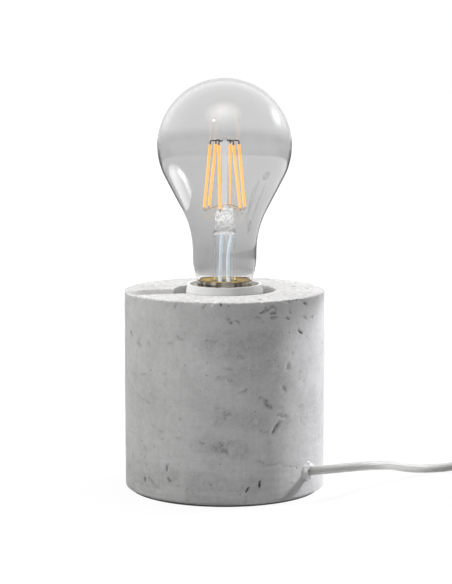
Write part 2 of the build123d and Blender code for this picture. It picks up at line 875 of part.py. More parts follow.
# Tie round the bundle on the coil's right side
tie_left = coil_inner_radius - cord_radius - tie_side_gap
tie_right = coil_rim - coil_turn_pitch / 4 + cord_radius + tie_side_gap - 0.2
tie_height = coil_top + cord_radius + tie_gap
tie_frame = Plane(origin=(coil_x, coil_y, 0), x_dir=(1, 0, 0), z_dir=(0, -1, 0))
tie_outer = Pos((tie_left + tie_right) / 2, (tie_height + tie_thickness) / 2) * RectangleRounded(
    tie_right - tie_left + 2 * tie_thickness, tie_height + tie_thickness, tie_corner
)
tie_inner = Pos((tie_left + tie_right) / 2, (tie_height + tie_thickness) / 2) * RectangleRounded(
    tie_right - tie_left, tie_height - tie_thickness, tie_corner - tie_thickness
)
coil_tie = extrude(tie_frame * (tie_outer - tie_inner), amount=tie_width / 2, both=True)
save(coil_tie, "coil_tie")

# Switch housing: one rounded block, hollowed and parted at the cord's height
switch_place = Pos(switch_x, switch_y, 0)
housing = extrude(RectangleRounded(switch_length, switch_width, switch_corner), amount=switch_height)
housing = fillet(housing.faces().sort_by(Axis.Z)[-1].edges(), switch_edge)
housing = chamfer(housing.faces().sort_by(Axis.Z)[0].edges(), switch_foot_edge)
cavity_size = (switch_length - 2 * switch_wall, switch_width - 2 * switch_wall)
cavity_shape = RectangleRounded(*cavity_size, switch_corner - switch_wall)
cavity = extrude(cavity_shape, amount=switch_height - 2 * switch_wall)
housing = housing - Pos(0, 0, switch_wall) * cavity
cord_hole_radius = cord_radius + cord_hole_clearance
end_frame = Plane(origin=(0, 0, switch_parting), z_dir=(1, 0, 0))
end_hole = end_frame * Cylinder(cord_hole_radius, switch_length + 2 * cut_overrun)
window_length = rocker_length + 2 * rocker_end_clearance
window_width = rocker_width + 2 * rocker_side_clearance
roof_foot = switch_height - switch_wall
window = Pos(0, 0, roof_foot) * Box(window_length, window_width, 2 * switch_wall)
lower_half = Box(2 * switch_length, 2 * switch_width, switch_parting, align=inward)
upper_room = Box(2 * switch_length, 2 * switch_width, switch_height, align=inward)
switch_lower = housing & lower_half
switch_upper = housing & (Pos(0, 0, switch_parting) * upper_room)

# Posts for the screws and cheeks for the rocker's pivot hang from the cover
post_radius = switch_post_diameter / 2
screw_shank = switch_screw_diameter / 2
screw_hole_radius = screw_shank + screw_fit
screw_seat_radius = switch_screw_head / 2 + screw_seat_clearance
screw_places = [(-switch_screw_x, -switch_screw_y), (switch_screw_x, switch_screw_y)]
screws = []
for place_x, place_y in screw_places:
    post = rod(post_radius, switch_wall, roof_foot + weld)
    switch_upper = switch_upper + Pos(place_x, place_y, 0) * post
    pilot = rod(screw_hole_radius, 0, switch_screw_length + weld)
    switch_upper = switch_upper - Pos(place_x, place_y, 0) * pilot
    seat = turned(
        [
            (0, -screw_fit),
            (screw_seat_radius, -screw_fit),
            (screw_seat_radius, screw_sunk),
            (screw_hole_radius, switch_screw_head_height + screw_fit),
            (screw_hole_radius, switch_wall + screw_fit),
            (0, switch_wall + screw_fit),
        ]
    )
    switch_lower = switch_lower - Pos(place_x, place_y, 0) * seat
    screw = turned(
        [
            (0, screw_sunk),
            (switch_screw_head / 2, screw_sunk),
            (screw_shank, switch_screw_head_height),
            (screw_shank, switch_screw_length),
            (0, switch_screw_length),
        ]
    )
    screws.append(switch_place * Pos(place_x, place_y, 0) * screw)
cheek_inner = rocker_width / 2 + rocker_side_clearance
cheek_foot = pivot_height - hub_diameter / 2
cheek_height = roof_foot + weld - cheek_foot
for side in (-1, 1):
    cheek = Box(3 * pivot_diameter, cheek_thickness, cheek_height, align=inward)
    cheek_y = side * (cheek_inner + cheek_thickness / 2)
    switch_upper = switch_upper + Pos(0, cheek_y, cheek_foot) * cheek
pivot_frame = Plane(origin=(0, 0, pivot_height), z_dir=(0, 1, 0))
pivot_reach = 2 * (cheek_inner + cheek_thickness) + cut_overrun
pivot_hole = Cylinder(pivot_diameter / 2 + pivot_fit, pivot_reach)
switch_upper = switch_upper - window - pivot_frame * pivot_hole - end_hole
switch_lower = switch_lower - end_hole
save(switch_place * switch_lower, "switch_base")
save(switch_place * switch_upper, "switch_cover")
save(Compound(children=screws), "switch_screws")

# Rocker, drawn level about its pivot and then tilted to the off position
half_length = rocker_length / 2
rocker_top = rocker_skirt + rocker_height
rocker_lines = [
    Line((-half_length, rocker_skirt), (half_length, rocker_skirt)),
    Line((half_length, rocker_skirt), (half_length, rocker_top)),
    ThreePointArc(
        (half_length, rocker_top), (0, rocker_top - rocker_hollow), (-half_length, rocker_top)
    ),
    Line((-half_length, rocker_top), (-half_length, rocker_skirt)),
]
rocker = extrude(Plane.XZ * make_face(rocker_lines), amount=rocker_width / 2, both=True)
across = Plane(origin=(0, 0, 0), z_dir=(0, 1, 0))
hub = across * Cylinder(hub_diameter / 2, rocker_width)
stem_block = Box(hub_diameter, rocker_width, rocker_skirt + weld, align=inward)
pivots = across * Cylinder(pivot_diameter / 2, rocker_width + 2 * pivot_length)
rocker = rocker + hub + stem_block + pivots
bridge_drop = hub_diameter / 2 + bridge_thickness + wire_gap
bridge = Pos(0, 0, -bridge_drop) * Box(bridge_length, bridge_width, bridge_thickness, align=inward)
rocker_place = Pos(switch_x, switch_y, pivot_height) * Rot(0, -rocker_tilt, 0)
save(rocker_place * rocker, "switch_rocker")
save(rocker_place * bridge, "switch_bridge")

# Brass terminals on the floor of the switch
switch_terminals = []
for side in (-1, 1):
    block = Box(switch_terminal_length, switch_terminal_width, switch_terminal_height, align=inward)
    switch_terminals.append(switch_place * Pos(side * switch_terminal_x, 0, switch_wall) * block)
save(Compound(children=switch_terminals), "switch_terminals")

# Plug, drawn along its own +Z from the cord's entry to the tips of the pins
plug_frame = Plane(origin=(plug_entry_x, plug_y, plug_z), x_dir=(0, 1, 0), z_dir=(-1, 0, 0))
body_start = relief_length
body_end = relief_length + plug_body_length
rear_shape = RectangleRounded(plug_rear_width, plug_rear_thickness, plug_corner)
waist_thickness = plug_rear_thickness + plug_waist_swell
waist_shape = RectangleRounded(plug_waist_width, waist_thickness, plug_corner)
front_shape = RectangleRounded(plug_width, plug_thickness, plug_corner)
sections = [
    Plane.XY.offset(body_start) * rear_shape,
    Plane.XY.offset(body_start + plug_body_length * plug_waist_share) * waist_shape,
    Plane.XY.offset(body_start + plug_body_length * plug_front_share) * front_shape,
    Plane.XY.offset(body_end) * front_shape,
]
plug = loft(sections, ruled=True)
relief_outline = [(cord_hole_radius, 0)]
for ring_number in range(relief_rings):
    share = ring_number / relief_rings
    ring_radius = (relief_rear_diameter + (relief_front_diameter - relief_rear_diameter) * share) / 2
    ring_start = relief_length * share
    ring_stop = relief_length * (share + relief_ring_share / relief_rings)
    next_start = relief_length * (ring_number + 1) / relief_rings
    relief_outline.append((ring_radius, ring_start))
    relief_outline.append((ring_radius, ring_stop))
    relief_outline.append((ring_radius - relief_groove, ring_stop))
    relief_outline.append((ring_radius - relief_groove, next_start))
relief_outline.append((relief_front_diameter / 2, relief_length))
relief_outline.append((relief_front_diameter / 2, relief_length + weld))
relief_outline.append((0, relief_length + weld))
relief_outline.append((0, relief_grip))
relief_outline.append((cord_hole_radius, relief_grip))
plug = plug + turned(relief_outline)
pins = []
sleeves = []
for side in (-1, 1):
    place = Pos(side * pin_spacing / 2, 0, 0)
    pin_start = body_end - pin_depth
    sleeve_end = body_end + sleeve_length
    pin_end = body_end + pin_length
    pin_radius = pin_diameter / 2
    core = sleeve_core / 2
    pin = turned(
        [
            (0, pin_start),
            (core, pin_start),
            (core, sleeve_end),
            (pin_radius, sleeve_end),
            (pin_radius, pin_end - pin_nose),
            (pin_radius - pin_nose, pin_end),
            (0, pin_end),
        ]
    )
    sleeve = turned(
        [
            (core + pin_fit, body_end),
            (sleeve_diameter / 2, body_end),
            (sleeve_diameter / 2, sleeve_end),
            (core + pin_fit, sleeve_end),
        ]
    )
    plug = plug - place * rod(core + pin_fit, pin_start, body_end + cut_overrun)
    pins.append(plug_frame * place * pin)
    sleeves.append(plug_frame * place * sleeve)
save(plug_frame * plug, "plug_body")
save(Compound(children=pins), "plug_pins")
save(Compound(children=sleeves), "pin_sleeves")

bulb_top = cap_rim + globe_rise + globe_diameter / 2
lift_per_radian = thread_pitch / (2 * pi)
print(f"well floor {well_floor:.2f}, recess ceiling {recess_ceiling:.2f}")
print(f"nipple {nipple_foot:.2f} to {nipple_top:.2f}, holder rim {holder_rim:.2f}")
print(f"cap rim {cap_rim:.2f}, tip {tip_level:.2f}, bulb top {bulb_top:.2f}")
print(f"bulb lifts {lift_per_radian:.5f} a radian, {thread_pitch * thread_turns:.2f} in all")
print(f"cord leaves at {tuple(exit_point)} along {tuple(exit_direction)}")
print(f"coil centre {coil_x:.1f}, {coil_y:.2f}, plug axis {plug_y:.2f}, {plug_z:.2f}")
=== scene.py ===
# %% [markdown]
# # A concrete desk lamp with a smoky filament bulb
#
# The lamp is a cast concrete cylinder as tall as it is wide. A white screw lampholder sits in a
# well in its top, and a smoky glass bulb with yellow filament strips stands in the holder. A
# pale cord leaves low on the right, runs through a hand switch and ends in a coil and a plug.
#
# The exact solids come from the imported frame. This script adds what a solid modeller does not
# give: cast texture, pits and chips, a rolled thread, soft cords, and a finish for every piece.

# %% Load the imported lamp
import math

import bmesh
import bpy
import numpy as np
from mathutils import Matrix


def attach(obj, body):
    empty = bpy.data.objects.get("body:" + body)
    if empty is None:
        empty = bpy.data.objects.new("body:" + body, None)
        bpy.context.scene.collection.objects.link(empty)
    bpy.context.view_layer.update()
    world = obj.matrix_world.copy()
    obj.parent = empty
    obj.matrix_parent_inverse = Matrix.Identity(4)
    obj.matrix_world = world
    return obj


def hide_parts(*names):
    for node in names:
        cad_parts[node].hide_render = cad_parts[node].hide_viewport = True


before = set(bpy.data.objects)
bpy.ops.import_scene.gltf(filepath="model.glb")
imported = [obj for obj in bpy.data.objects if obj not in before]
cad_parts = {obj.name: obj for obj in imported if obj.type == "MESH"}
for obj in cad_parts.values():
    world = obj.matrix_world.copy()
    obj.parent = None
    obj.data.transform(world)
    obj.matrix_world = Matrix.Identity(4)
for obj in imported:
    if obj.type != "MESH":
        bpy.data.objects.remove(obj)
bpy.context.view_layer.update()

# %% [markdown]
# ## Camera
#
# The picture was taken from one metre away, a little above the bulb and tilted down, with a long
# lens. Both rims of the cylinder are seen as thin ellipses, and their heights give the tilt.

# %% Place the camera
camera_data = bpy.data.cameras.new("photo_camera")
camera_data.sensor_width = 36.0
camera_data.lens = 124.27
camera_data.dof.use_dof = False
camera = bpy.data.objects.new("photo_camera", camera_data)
camera.location = (0.0007, -1.0, 0.2296)
camera.rotation_euler = (math.radians(90.0 - 7.464), 0.0, 0.0)
bpy.context.scene.collection.objects.link(camera)
bpy.context.scene.camera = camera
bpy.context.scene.view_settings.view_transform = "Standard"
print("camera lens", camera_data.lens)

# %% [markdown]
# ## Cords
#
# The flexible cord is a soft round cord with a matt sheath. It is drawn as a smooth curve with a
# round section: the points are the places where it was laid, and the curve glides between
# them. One cord runs from the lamp to the hand switch, a second from the switch through the coil
# to the plug. The first leaves the lamp low on the right, sags to the table and rises into the
# switch.

# %% The cord from the lamp to the switch
cord_radius = 0.0022


def draw_cord(name, route):
    """A round cord along an open spline: the route's points in metres pull the curve, ends met."""
    curve = bpy.data.curves.new(name, "CURVE")
    curve.dimensions = "3D"
    curve.bevel_depth = 1.0
    curve.bevel_resolution = 5
    curve.resolution_u = 6
    curve.use_fill_caps = True
    spline = curve.splines.new("NURBS")
    spline.points.add(len(route) - 1)
    weights = np.ones((len(route), 1))
    spline.points.foreach_set("co", np.hstack([np.array(route), weights]).ravel())
    spline.points.foreach_set("radius", np.full(len(route), cord_radius))
    spline.order_u = 3
    spline.use_endpoint_u = True
    cord = bpy.data.objects.new(name, curve)
    bpy.context.scene.collection.objects.link(cord)
    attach(cord, "lamp")
    return cord


lamp_route = [
    (0.041206309, -0.028320312, 0.0134),
    (0.053798, -0.030997, 0.015209),
    (0.0675, -0.0275, 0.0158),
    (0.0785, -0.0165, 0.0138),
    (0.0860, 0.0005, 0.0098),
    (0.0950, 0.0145, 0.0053),
    (0.1055, 0.0265, 0.0025),
    (0.1195, 0.0320, 0.0024),
    (0.1340, 0.0332, 0.0060),
    (0.1470, 0.0332, 0.0060),
]
lamp_cord = draw_cord("cord_to_switch", lamp_route)
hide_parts("lamp_cord")
print("lamp cord points", len(lamp_route))

# %% [markdown]
# The spare cord is wound into a flat coil of four layers and strapped, as a new lamp is packed.
# Each half turn is a half circle that ends 3 mm further in or out than it began, so the coil
# spirals. Between layers a half turn of even radius climbs one layer.

# %% The cord from the switch through the coil to the plug
coil_x, coil_y, coil_rim, turn_pitch = 0.224, 0.0022, 0.031, 0.006
layer_pitch, layers, halves_per_layer, steps = 0.005, 4, 4, 8


def half_turn(side, before, after, level, climb):
    """Half circle from radius before to radius after: centre + r (side sin t, side cos t).

    The height is level + climb (1 - cos t) / 2, and the points stand a little outside the true
    circle because the spline rounds off its corners.
    """
    t = np.linspace(0.0, math.pi, steps, endpoint=False)
    swell = 2.0 / (1.0 + math.cos(math.pi / (2 * steps)))
    r = 0.5 * (before + after) * swell
    x = coil_x + side * r * np.sin(t)
    y = coil_y + side * (0.5 * (before - after) + r * np.cos(t))
    return np.stack([x, y, level + climb * (1.0 - np.cos(t)) / 2.0], axis=1)


turns = []
radius, level, side = coil_rim, 0.00325, 1.0
for layer in range(layers):
    inward = -1.0 if layer % 2 == 0 else 1.0
    for _ in range(halves_per_layer):
        turns.append(half_turn(side, radius, radius + inward * turn_pitch / 2, level, 0.0))
        radius = radius + inward * turn_pitch / 2
        side = -side
    if layer < layers - 1:
        turns.append(half_turn(side, radius, radius, level, layer_pitch))
        level = level + layer_pitch
        side = -side
to_coil = [(0.183, 0.0332, 0.0060), (0.1965, 0.0332, 0.0060), (0.2105, 0.0332, 0.00325)]
to_plug = [(0.224, -0.0288, 0.01825), (0.209, -0.0288, 0.01825), (0.190, -0.0288, 0.0070),
           (0.168, -0.0288, 0.0070)]
coil_route = to_coil + [tuple(point) for point in np.concatenate(turns).tolist()] + to_plug
coil_cord = draw_cord("cord_to_plug", coil_route)
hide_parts("coil_lead", "cord_coil", "plug_lead")
print("coil points", len(coil_route), "last radius", round(radius, 4), "side", side)

# %% [markdown]
# ## Concrete
#
# The base is cast: wet concrete takes the grain of its mould, air bubbles leave pits in the wall,
# and the sharp rims chip when the mould comes off. The piece is a closed profile turned about
# the axis as a grid of points. The grid is then moved in and out by layers of cloud-like noise,
# dented by pits and nicked at the rim. The finger scoop is cut by lowering the grid's columns.

# %% Profile of the base, in millimetres
base_radius, foot, top = 50.0, 1.0, 100.0
well_radius, recess_radius, web_hole = 25.5, 30.0, 5.3
well_floor, recess_ceiling = 47.0, 26.0
foot_round, rim_round, mouth_round, scoop_depth = 1.5, 0.8, 0.6, 3.6


def run(r0, z0, r1, z1, count):
    """count points on a straight run, its last point left to the next run."""
    return np.linspace((r0, z0), (r1, z1), count, endpoint=False)


def rounding(r, z, size, start, end, count):
    """Points of a rounding: centre + size (cos t, sin t), t in degrees."""
    t = np.radians(np.linspace(start, end, count))
    return np.stack([r + size * np.cos(t), z + size * np.sin(t)], axis=1)


parts_of_profile = {
    "underside": run(recess_radius, foot, base_radius - foot_round, foot, 3),
    "foot_round": rounding(base_radius - foot_round, foot + foot_round, foot_round, -90.0, 0.0, 5),
    "wall": run(base_radius, foot + foot_round, base_radius, top - rim_round, 146)[1:],
    "rim": rounding(base_radius - rim_round, top - rim_round, rim_round, 0.0, 90.0, 5),
    "top": run(base_radius - rim_round, top, well_radius + mouth_round, top, 24)[1:],
    "mouth": rounding(well_radius + mouth_round, top - mouth_round, mouth_round, 90.0, 180.0, 4),
    "lip": np.array([[well_radius, top - scoop_depth]]),
    "well": run(well_radius, top - scoop_depth, well_radius, well_floor, 3)[1:],
    "floor": run(well_radius, well_floor, web_hole, well_floor, 3),
    "web": run(web_hole, well_floor, web_hole, recess_ceiling, 2),
    "ceiling": run(web_hole, recess_ceiling, recess_radius, recess_ceiling, 3),
    "recess": run(recess_radius, recess_ceiling, recess_radius, foot, 14),
}
profile = np.concatenate(list(parts_of_profile.values()))
zone = np.concatenate([[name] * len(rows) for name, rows in parts_of_profile.items()])
row_r, row_z = profile[:, 0], profile[:, 1]
cast = np.isin(zone, ["foot_round", "wall", "rim", "top", "mouth", "lip"])
upper = np.isin(zone, ["rim", "top", "mouth", "lip"])
print("rows", len(profile))

# %% [markdown]
# The scoop runs through the left rim to the well with straight sides, so the columns of the grid
# gather between its sides and fan out again round the rest of the rim. The floor is dished up to
# the sides, as a rounded trowel leaves wet concrete.

# %% Columns of the grid, gathered at the scoop
scoop_heading, scoop_half, dish_width = math.radians(198.0), 9.0, 1.8
bend_start, bend_end, bend_radius = 39.553, 42.373, 9.0
edge_on_rim = math.asin(scoop_half / base_radius)
edge_on_well = math.asin(scoop_half / well_radius)
inside = np.linspace(-edge_on_rim, edge_on_rim, 27)
outside = np.linspace(edge_on_rim, 2 * math.pi - edge_on_rim, 433)
column = np.concatenate([inside, outside])
in_scoop = np.arange(len(column)) < len(inside)

row_edge = np.where(upper, np.arcsin(scoop_half / np.maximum(row_r, well_radius)), edge_on_rim)
row_edge = np.where(np.isin(zone, ["well", "floor", "web"]), edge_on_well, row_edge)
row_edge = np.where(zone == "ceiling", edge_on_rim + (edge_on_well - edge_on_rim)
                    * (recess_radius - row_r) / (recess_radius - web_hole), row_edge)
gathered = column[None, :] * row_edge[:, None] / edge_on_rim
row_fan = math.pi - row_edge[:, None]
fanned = row_edge[:, None] + (column[None, :] - edge_on_rim) * row_fan / (math.pi - edge_on_rim)
theta = scoop_heading + np.where(in_scoop[None, :], gathered, fanned)


def scoop_floor(r):
    """Height of the scoop's floor: flat, an arc of the bend radius, then a slope of 0.33 to the rim."""
    past = np.clip(r - bend_start, 0.0, 0.99 * bend_radius)
    bend = top - scoop_depth + bend_radius - np.sqrt(bend_radius ** 2 - past ** 2)
    slope = top - 0.3 - 0.33 * (base_radius + 1.0 - r)
    return np.where(r < bend_start, top - scoop_depth, np.where(r < bend_end, bend, slope))


def ease(t):
    """A soft step from 0 to 1: 3t^2 - 2t^3."""
    return t * t * (3.0 - 2.0 * t)


r_grid = np.repeat(row_r[:, None], len(column), axis=1)
z_grid = np.repeat(row_z[:, None], len(column), axis=1)
side_gap = scoop_half - np.abs(r_grid * np.sin(theta - scoop_heading))
dish = ease(np.clip(side_gap / dish_width, 0.0, 1.0))
cut = np.maximum(z_grid - scoop_floor(r_grid), 0.0) * dish
z_grid = np.where(upper[:, None] & in_scoop[None, :], z_grid - cut, z_grid)
print("grid", r_grid.shape)

# %% [markdown]
# The cloud noise gives each corner of a lattice a random number and blends smoothly between the
# corners. Coarse layers make the wall gently uneven, fine layers give the sanded skin.

# %% Noise of the cast skin


def lattice(cell, seed):
    """A number from 0 to 1 for each whole-number cell, scrambled from its three indices."""
    i, j, k = np.moveaxis(cell.astype(np.int64), -1, 0)
    h = (i * 374761393 + j * 668265263 + k * 144269504 + seed * 97463477) & 0xFFFFFFFF
    h = ((h ^ (h >> 13)) * 1274126177) & 0xFFFFFFFF
    return ((h ^ (h >> 16)) & 0xFFFF) / 65535.0


def cloud(points, size, seed):
    """Lattice numbers of cells of that size, blended by the soft step along each axis, from -1 to 1."""
    cell = np.floor(points / size)
    t = ease(points / size - cell)
    total = np.zeros(points.shape[:-1])
    for corner in np.ndindex(2, 2, 2):
        weight = np.prod(np.where(np.array(corner) == 1, t, 1.0 - t), axis=-1)
        total += weight * lattice(cell + np.array(corner), seed)
    return 2.0 * total - 1.0


def around_axis(r, turn, z):
    """Points at radius r, angle turn and height z: x = r cos turn, y = r sin turn."""
    r, turn, z = np.broadcast_arrays(r, turn, z)
    return np.stack([r * np.cos(turn), r * np.sin(turn), z], axis=-1)


flat = around_axis(r_grid, theta, z_grid)
skin = 0.10 * cloud(flat, 24.0, 1) + 0.06 * cloud(flat, 7.0, 2) + 0.04 * cloud(flat, 2.2, 3)
print("skin", round(float(skin.min()), 3), round(float(skin.max()), 3))

# %% [markdown]
# Air bubbles, cracks, gouges and smears mark the wall. Those of the photo are listed, each
# as a stroke: the angle and height of its two ends, its half width, its depth and how much it
# darkens the grey. A stroke that lightens the grey has a negative last number. Small ones are
# scattered, and noise lets every stroke wander so that its edge is ragged.

# %% Strokes on the wall
# Where a stroke has depth, its darkening is painted shade inside the hollow; strokes without depth are
# darker stains.
wall_marks = [
    # under the rim
    (-118, 100, -118, 97, 0.6, 0.3, 0.5), (-100, 100, -101, 97, 0.6, 0.3, 0.45),
    (-93, 100, -93, 98, 0.6, 0.5, 0.9), (-94, 98, -92, 98, 0.6, 0.2, 0.6),
    (-70, 95, -66, 96, 0.8, 0.6, 0.6), (-64, 97, -61, 96, 0.6, 0.5, 0.6),
    (-64, 94, -61, 94, 0.6, 0.6, 0.65), (-63, 92, -61, 92, 0.6, 0.5, 0.6),
    (-72, 92, -69, 91, 0.7, 0.2, 0.4), (-88, 91, -86, 90, 0.8, 0.3, 0.5),
    (-83, 91, -82, 90, 0.6, 0.4, 0.55), (-53, 92, -52, 91, 0.6, 0.6, 0.75),
    (-51, 95, -51, 94, 0.6, 0.4, 0.55), (-39, 97, -37, 96, 0.8, 0.6, 0.7),
    (-40, 91, -38, 89, 0.6, 0.3, 0.45), (-33, 89, -30, 89, 0.6, 0.3, 0.4),
    (-46, 88, -46, 88, 0.6, 0.4, 0.5),
    # upper wall
    (-93, 64, -87, 63, 1.0, 0.0, 0.4), (-90, 68, -86, 68, 0.8, 0.0, 0.3),
    (-98, 81, -96, 80, 2.0, 0.0, 0.45), (-100, 82, -89, 84, 4.5, 0.0, 0.15),
    (-82, 76, -80, 74, 1.1, 0.0, 0.35), (-148, 76, -145, 76, 1.1, 0.0, 0.3),
    (-138, 79, -137, 78, 0.9, 0.1, 0.35), (-116, 83, -115, 82, 1.1, 0.0, 0.3),
    (-122, 80, -120, 80, 1.0, 0.0, 0.25), (-145, 62, -142, 62, 0.9, 0.0, 0.3),
    (-157, 81, -157, 80, 0.6, 0.4, 0.8), (-44, 84, -42, 83, 0.6, 0.7, 0.8),
    # middle of the wall
    (-162, 56, -137, 48, 0.6, 0.1, 0.2), (-118, 33, -91, 29, 0.6, 0.0, 0.15),
    (-96, 30, -90, 28, 1.1, 0.2, 0.5), (-92, 33, -90, 30, 0.9, 0.2, 0.45),
    (-91, 30, -88, 27, 1.1, 0.2, 0.55), (-87, 33, -82, 31, 0.8, 0.0, 0.25),
    (-93, 43, -88, 47, 2.2, 0.0, 0.4), (-82, 57, -78, 57, 1.0, 0.0, 0.25),
    (-70, 53, -64, 49, 1.1, 0.4, 0.5), (-67, 51, -64, 49, 1.0, 0.3, 0.4),
    (-59, 40, -62, 36, 1.0, 0.5, 0.4), (-69, 37, -63, 37, 0.7, 0.1, 0.3),
    (-64, 37, -62, 34, 0.6, 0.0, -0.5), (-55, 42, -54, 39, 0.6, 0.0, -0.45),
    (-59, 40, -50, 40, 0.6, 0.1, 0.3), (-59, 44, -53, 42, 1.1, 0.2, 0.35),
    (-44, 41, -35, 40, 0.6, 0.1, 0.35), (-44, 41, -37, 40, 0.6, 0.0, -0.25),
    (-40, 39, -39, 37, 0.6, 0.1, 0.25), (-42, 47, -40, 47, 0.9, 0.1, 0.3),
    (-141, 26, -141, 21, 0.6, 0.0, 0.2), (-103, 32, -100, 31, 1.0, 0.1, 0.4),
    (-128, 36, -126, 36, 0.6, 0.2, 0.4), (-135, 38, -132, 37, 0.6, 0.1, 0.2),
    (-56, 57, -55, 56, 0.6, 0.6, 0.6),
    # foot
    (-72, 22, -45, 17, 0.6, 0.1, 0.3), (-99, 9, -65, 9, 0.6, 0.0, 0.2),
    (-38, 18, -36, 19, 0.6, 0.5, 0.7), (-36, 19, -33, 18, 0.6, 0.5, 0.7),
    (-33, 18, -31, 17, 0.6, 0.5, 0.7), (-70, 12, -71, 10, 0.5, 1.2, 0.95),
    (-76, 10, -77, 8, 0.5, 0.9, 0.9), (-77, 6, -78, 2, 0.7, 0.1, 0.3),
    (-142, 10, -142, 9, 0.6, 1.0, 1.0), (-123, 20, -124, 19, 0.6, 0.5, 0.65),
    (-124, 19, -124, 17, 0.6, 0.5, 0.7), (-137, 11, -134, 9, 0.8, 0.5, 0.55),
    (-134, 9, -130, 7, 0.7, 0.2, 0.35), (-129, 12, -130, 8, 0.6, 0.2, 0.3),
    (-123, 13, -122, 11, 0.6, 0.6, 0.65), (-141, 17, -138, 17, 0.6, 0.4, 0.5),
    (-155, 23, -154, 19, 0.6, 0.0, 0.2), (-112, 9, -111, 3, 0.9, 0.0, 0.25),
    # broad smears
    (-96, 78, -62, 81, 6.0, 0.0, 0.18), (-84, 64, -66, 70, 5.0, 0.0, 0.12),
    (-92, 46, -72, 42, 5.0, 0.0, 0.17), (-104, 31, -80, 28, 4.5, 0.0, 0.19),
    (-108, 13, -72, 11, 5.0, 0.0, 0.13), (-150, 60, -126, 50, 5.0, 0.0, 0.07),
    (-140, 12, -120, 14, 5.0, 0.0, 0.11), (-58, 60, -60, 84, 4.0, 0.0, 0.12),
]
rng = np.random.default_rng(41)
for _ in range(150):
    angle, height, lean = 360.0 * rng.random(), 4.0 + 93.0 * rng.random(), math.pi * rng.random()
    long, dim = 4.0 * rng.random() ** 3, 0.10 + 0.3 * rng.random() ** 3
    wall_marks.append((angle, height, angle + math.degrees(long * math.cos(lean) / base_radius),
                       height + long * math.sin(lean), 0.55 + 0.5 * rng.random() ** 2, 0.8 * dim, dim))


def wall_strokes(marks):
    """Depth and darkness of the strokes: each fades as 1 - (way from the stroke / half width)^2."""
    wander_u = 1.1 * cloud(flat, 3.3, 5) + 0.5 * cloud(flat, 1.3, 7)
    wander_v = 1.1 * cloud(flat, 3.3, 6) + 0.5 * cloud(flat, 1.3, 8)
    patchy = 0.8 + 0.5 * cloud(flat, 2.1, 9) + 0.35 * cloud(flat, 0.9, 10)
    depth, dark, pale = np.zeros(theta.shape), np.zeros(theta.shape), np.zeros(theta.shape)
    for angle_0, z_0, angle_1, z_1, half, deep, dim in marks:
        turn = (theta - math.radians(angle_0) + math.pi) % (2 * math.pi) - math.pi
        u, v = base_radius * turn + wander_u, z_grid - z_0 + wander_v
        run_u, run_v = base_radius * math.radians(angle_1 - angle_0), z_1 - z_0
        share = np.clip((u * run_u + v * run_v) / (run_u ** 2 + run_v ** 2 + 1e-9), 0.0, 1.0)
        way = ((u - share * run_u) ** 2 + (v - share * run_v) ** 2) / (1.45 * half) ** 2
        near = np.clip(1.0 - way, 0.0, 1.0) ** 1.5 * (patchy if dim < 0.7 else 1.0)
        depth = np.maximum(depth, deep * near)
        dark, pale = np.maximum(dark, dim * near), np.maximum(pale, -dim * near)
    return depth, dark - pale


on_wall = np.isin(zone, ["foot_round", "wall", "rim"])[:, None]
pit, stain_and_painted_shade = (values * on_wall for values in wall_strokes(wall_marks))
print("wall strokes", len(wall_marks))

# %% [markdown]
# The top face was open to the air while the concrete set, so its bubbles burst and left round
# pits. The larger ones are listed: x and y, two half widths, a depth and a lean. The small
# ones are scattered over the face. Each is a shallow bowl with a ragged edge.

# %% Pits in the top face
top_pits = [
    (34.8, 10.7, 1.7, 1.6, 0.9, 0), (37.2, 25.8, 0.8, 1.0, 0.6, 0), (39.7, -11.7, 3.2, 0.7, 0.5, -8),
    (17.0, -38.2, 0.9, 1.6, 0.7, 0), (41.5, 4.0, 0.8, 0.9, 0.6, 0), (33.0, 22.0, 0.7, 0.8, 0.5, 0),
    (43.0, 14.0, 0.8, 1.4, 0.6, 0), (29.5, -20.0, 0.8, 0.8, 0.5, 0), (-28.0, -24.5, 1.0, 1.2, 0.5, 0),
    (21.7, 41.2, 0.9, 1.1, 0.6, 0), (-20.0, 38.0, 1.2, 0.9, 0.6, 0), (-6.0, -40.0, 0.9, 1.1, 0.5, 0),
]
for _ in range(70):
    reach, turn = 28.0 + 20.0 * rng.random(), 2 * math.pi * rng.random()
    size = 0.5 + 0.5 * rng.random() ** 2
    pit_depth = 0.3 + 0.4 * rng.random()
    lean = 90 * rng.random()
    top_pits.append((reach * math.cos(turn), reach * math.sin(turn), size, 0.8 * size, pit_depth, lean))


def top_dents(pits):
    """Depth of the pits: depth (1 - q^2), where q is the way from the middle in half widths."""
    ragged = 0.4 * cloud(flat, 1.3, 6)
    deepest = np.zeros(theta.shape)
    for x, y, half_u, half_v, depth, lean in pits:
        du, dv = flat[..., 0] - x, flat[..., 1] - y
        c, s = math.cos(math.radians(lean)), math.sin(math.radians(lean))
        q = np.hypot((c * du + s * dv) / half_u, (c * dv - s * du) / half_v) + ragged
        deepest = np.maximum(deepest, depth * np.clip(1.0 - q * q, 0.0, 1.0))
    return deepest


on_top = (zone == "top")[:, None]
dents = top_dents(top_pits) * on_top
pit = np.maximum(pit, dents)
# The pits darken the colour in step with their depth: painted shade inside them.
stain_and_painted_shade = np.maximum(stain_and_painted_shade, 1.5 * dents)
print("top pits", len(top_pits))

# %% [markdown]
# The rims are sharp and brittle. Where a noise is high and an edge is near, the concrete has
# chipped: the chip fades with the way to the edge.

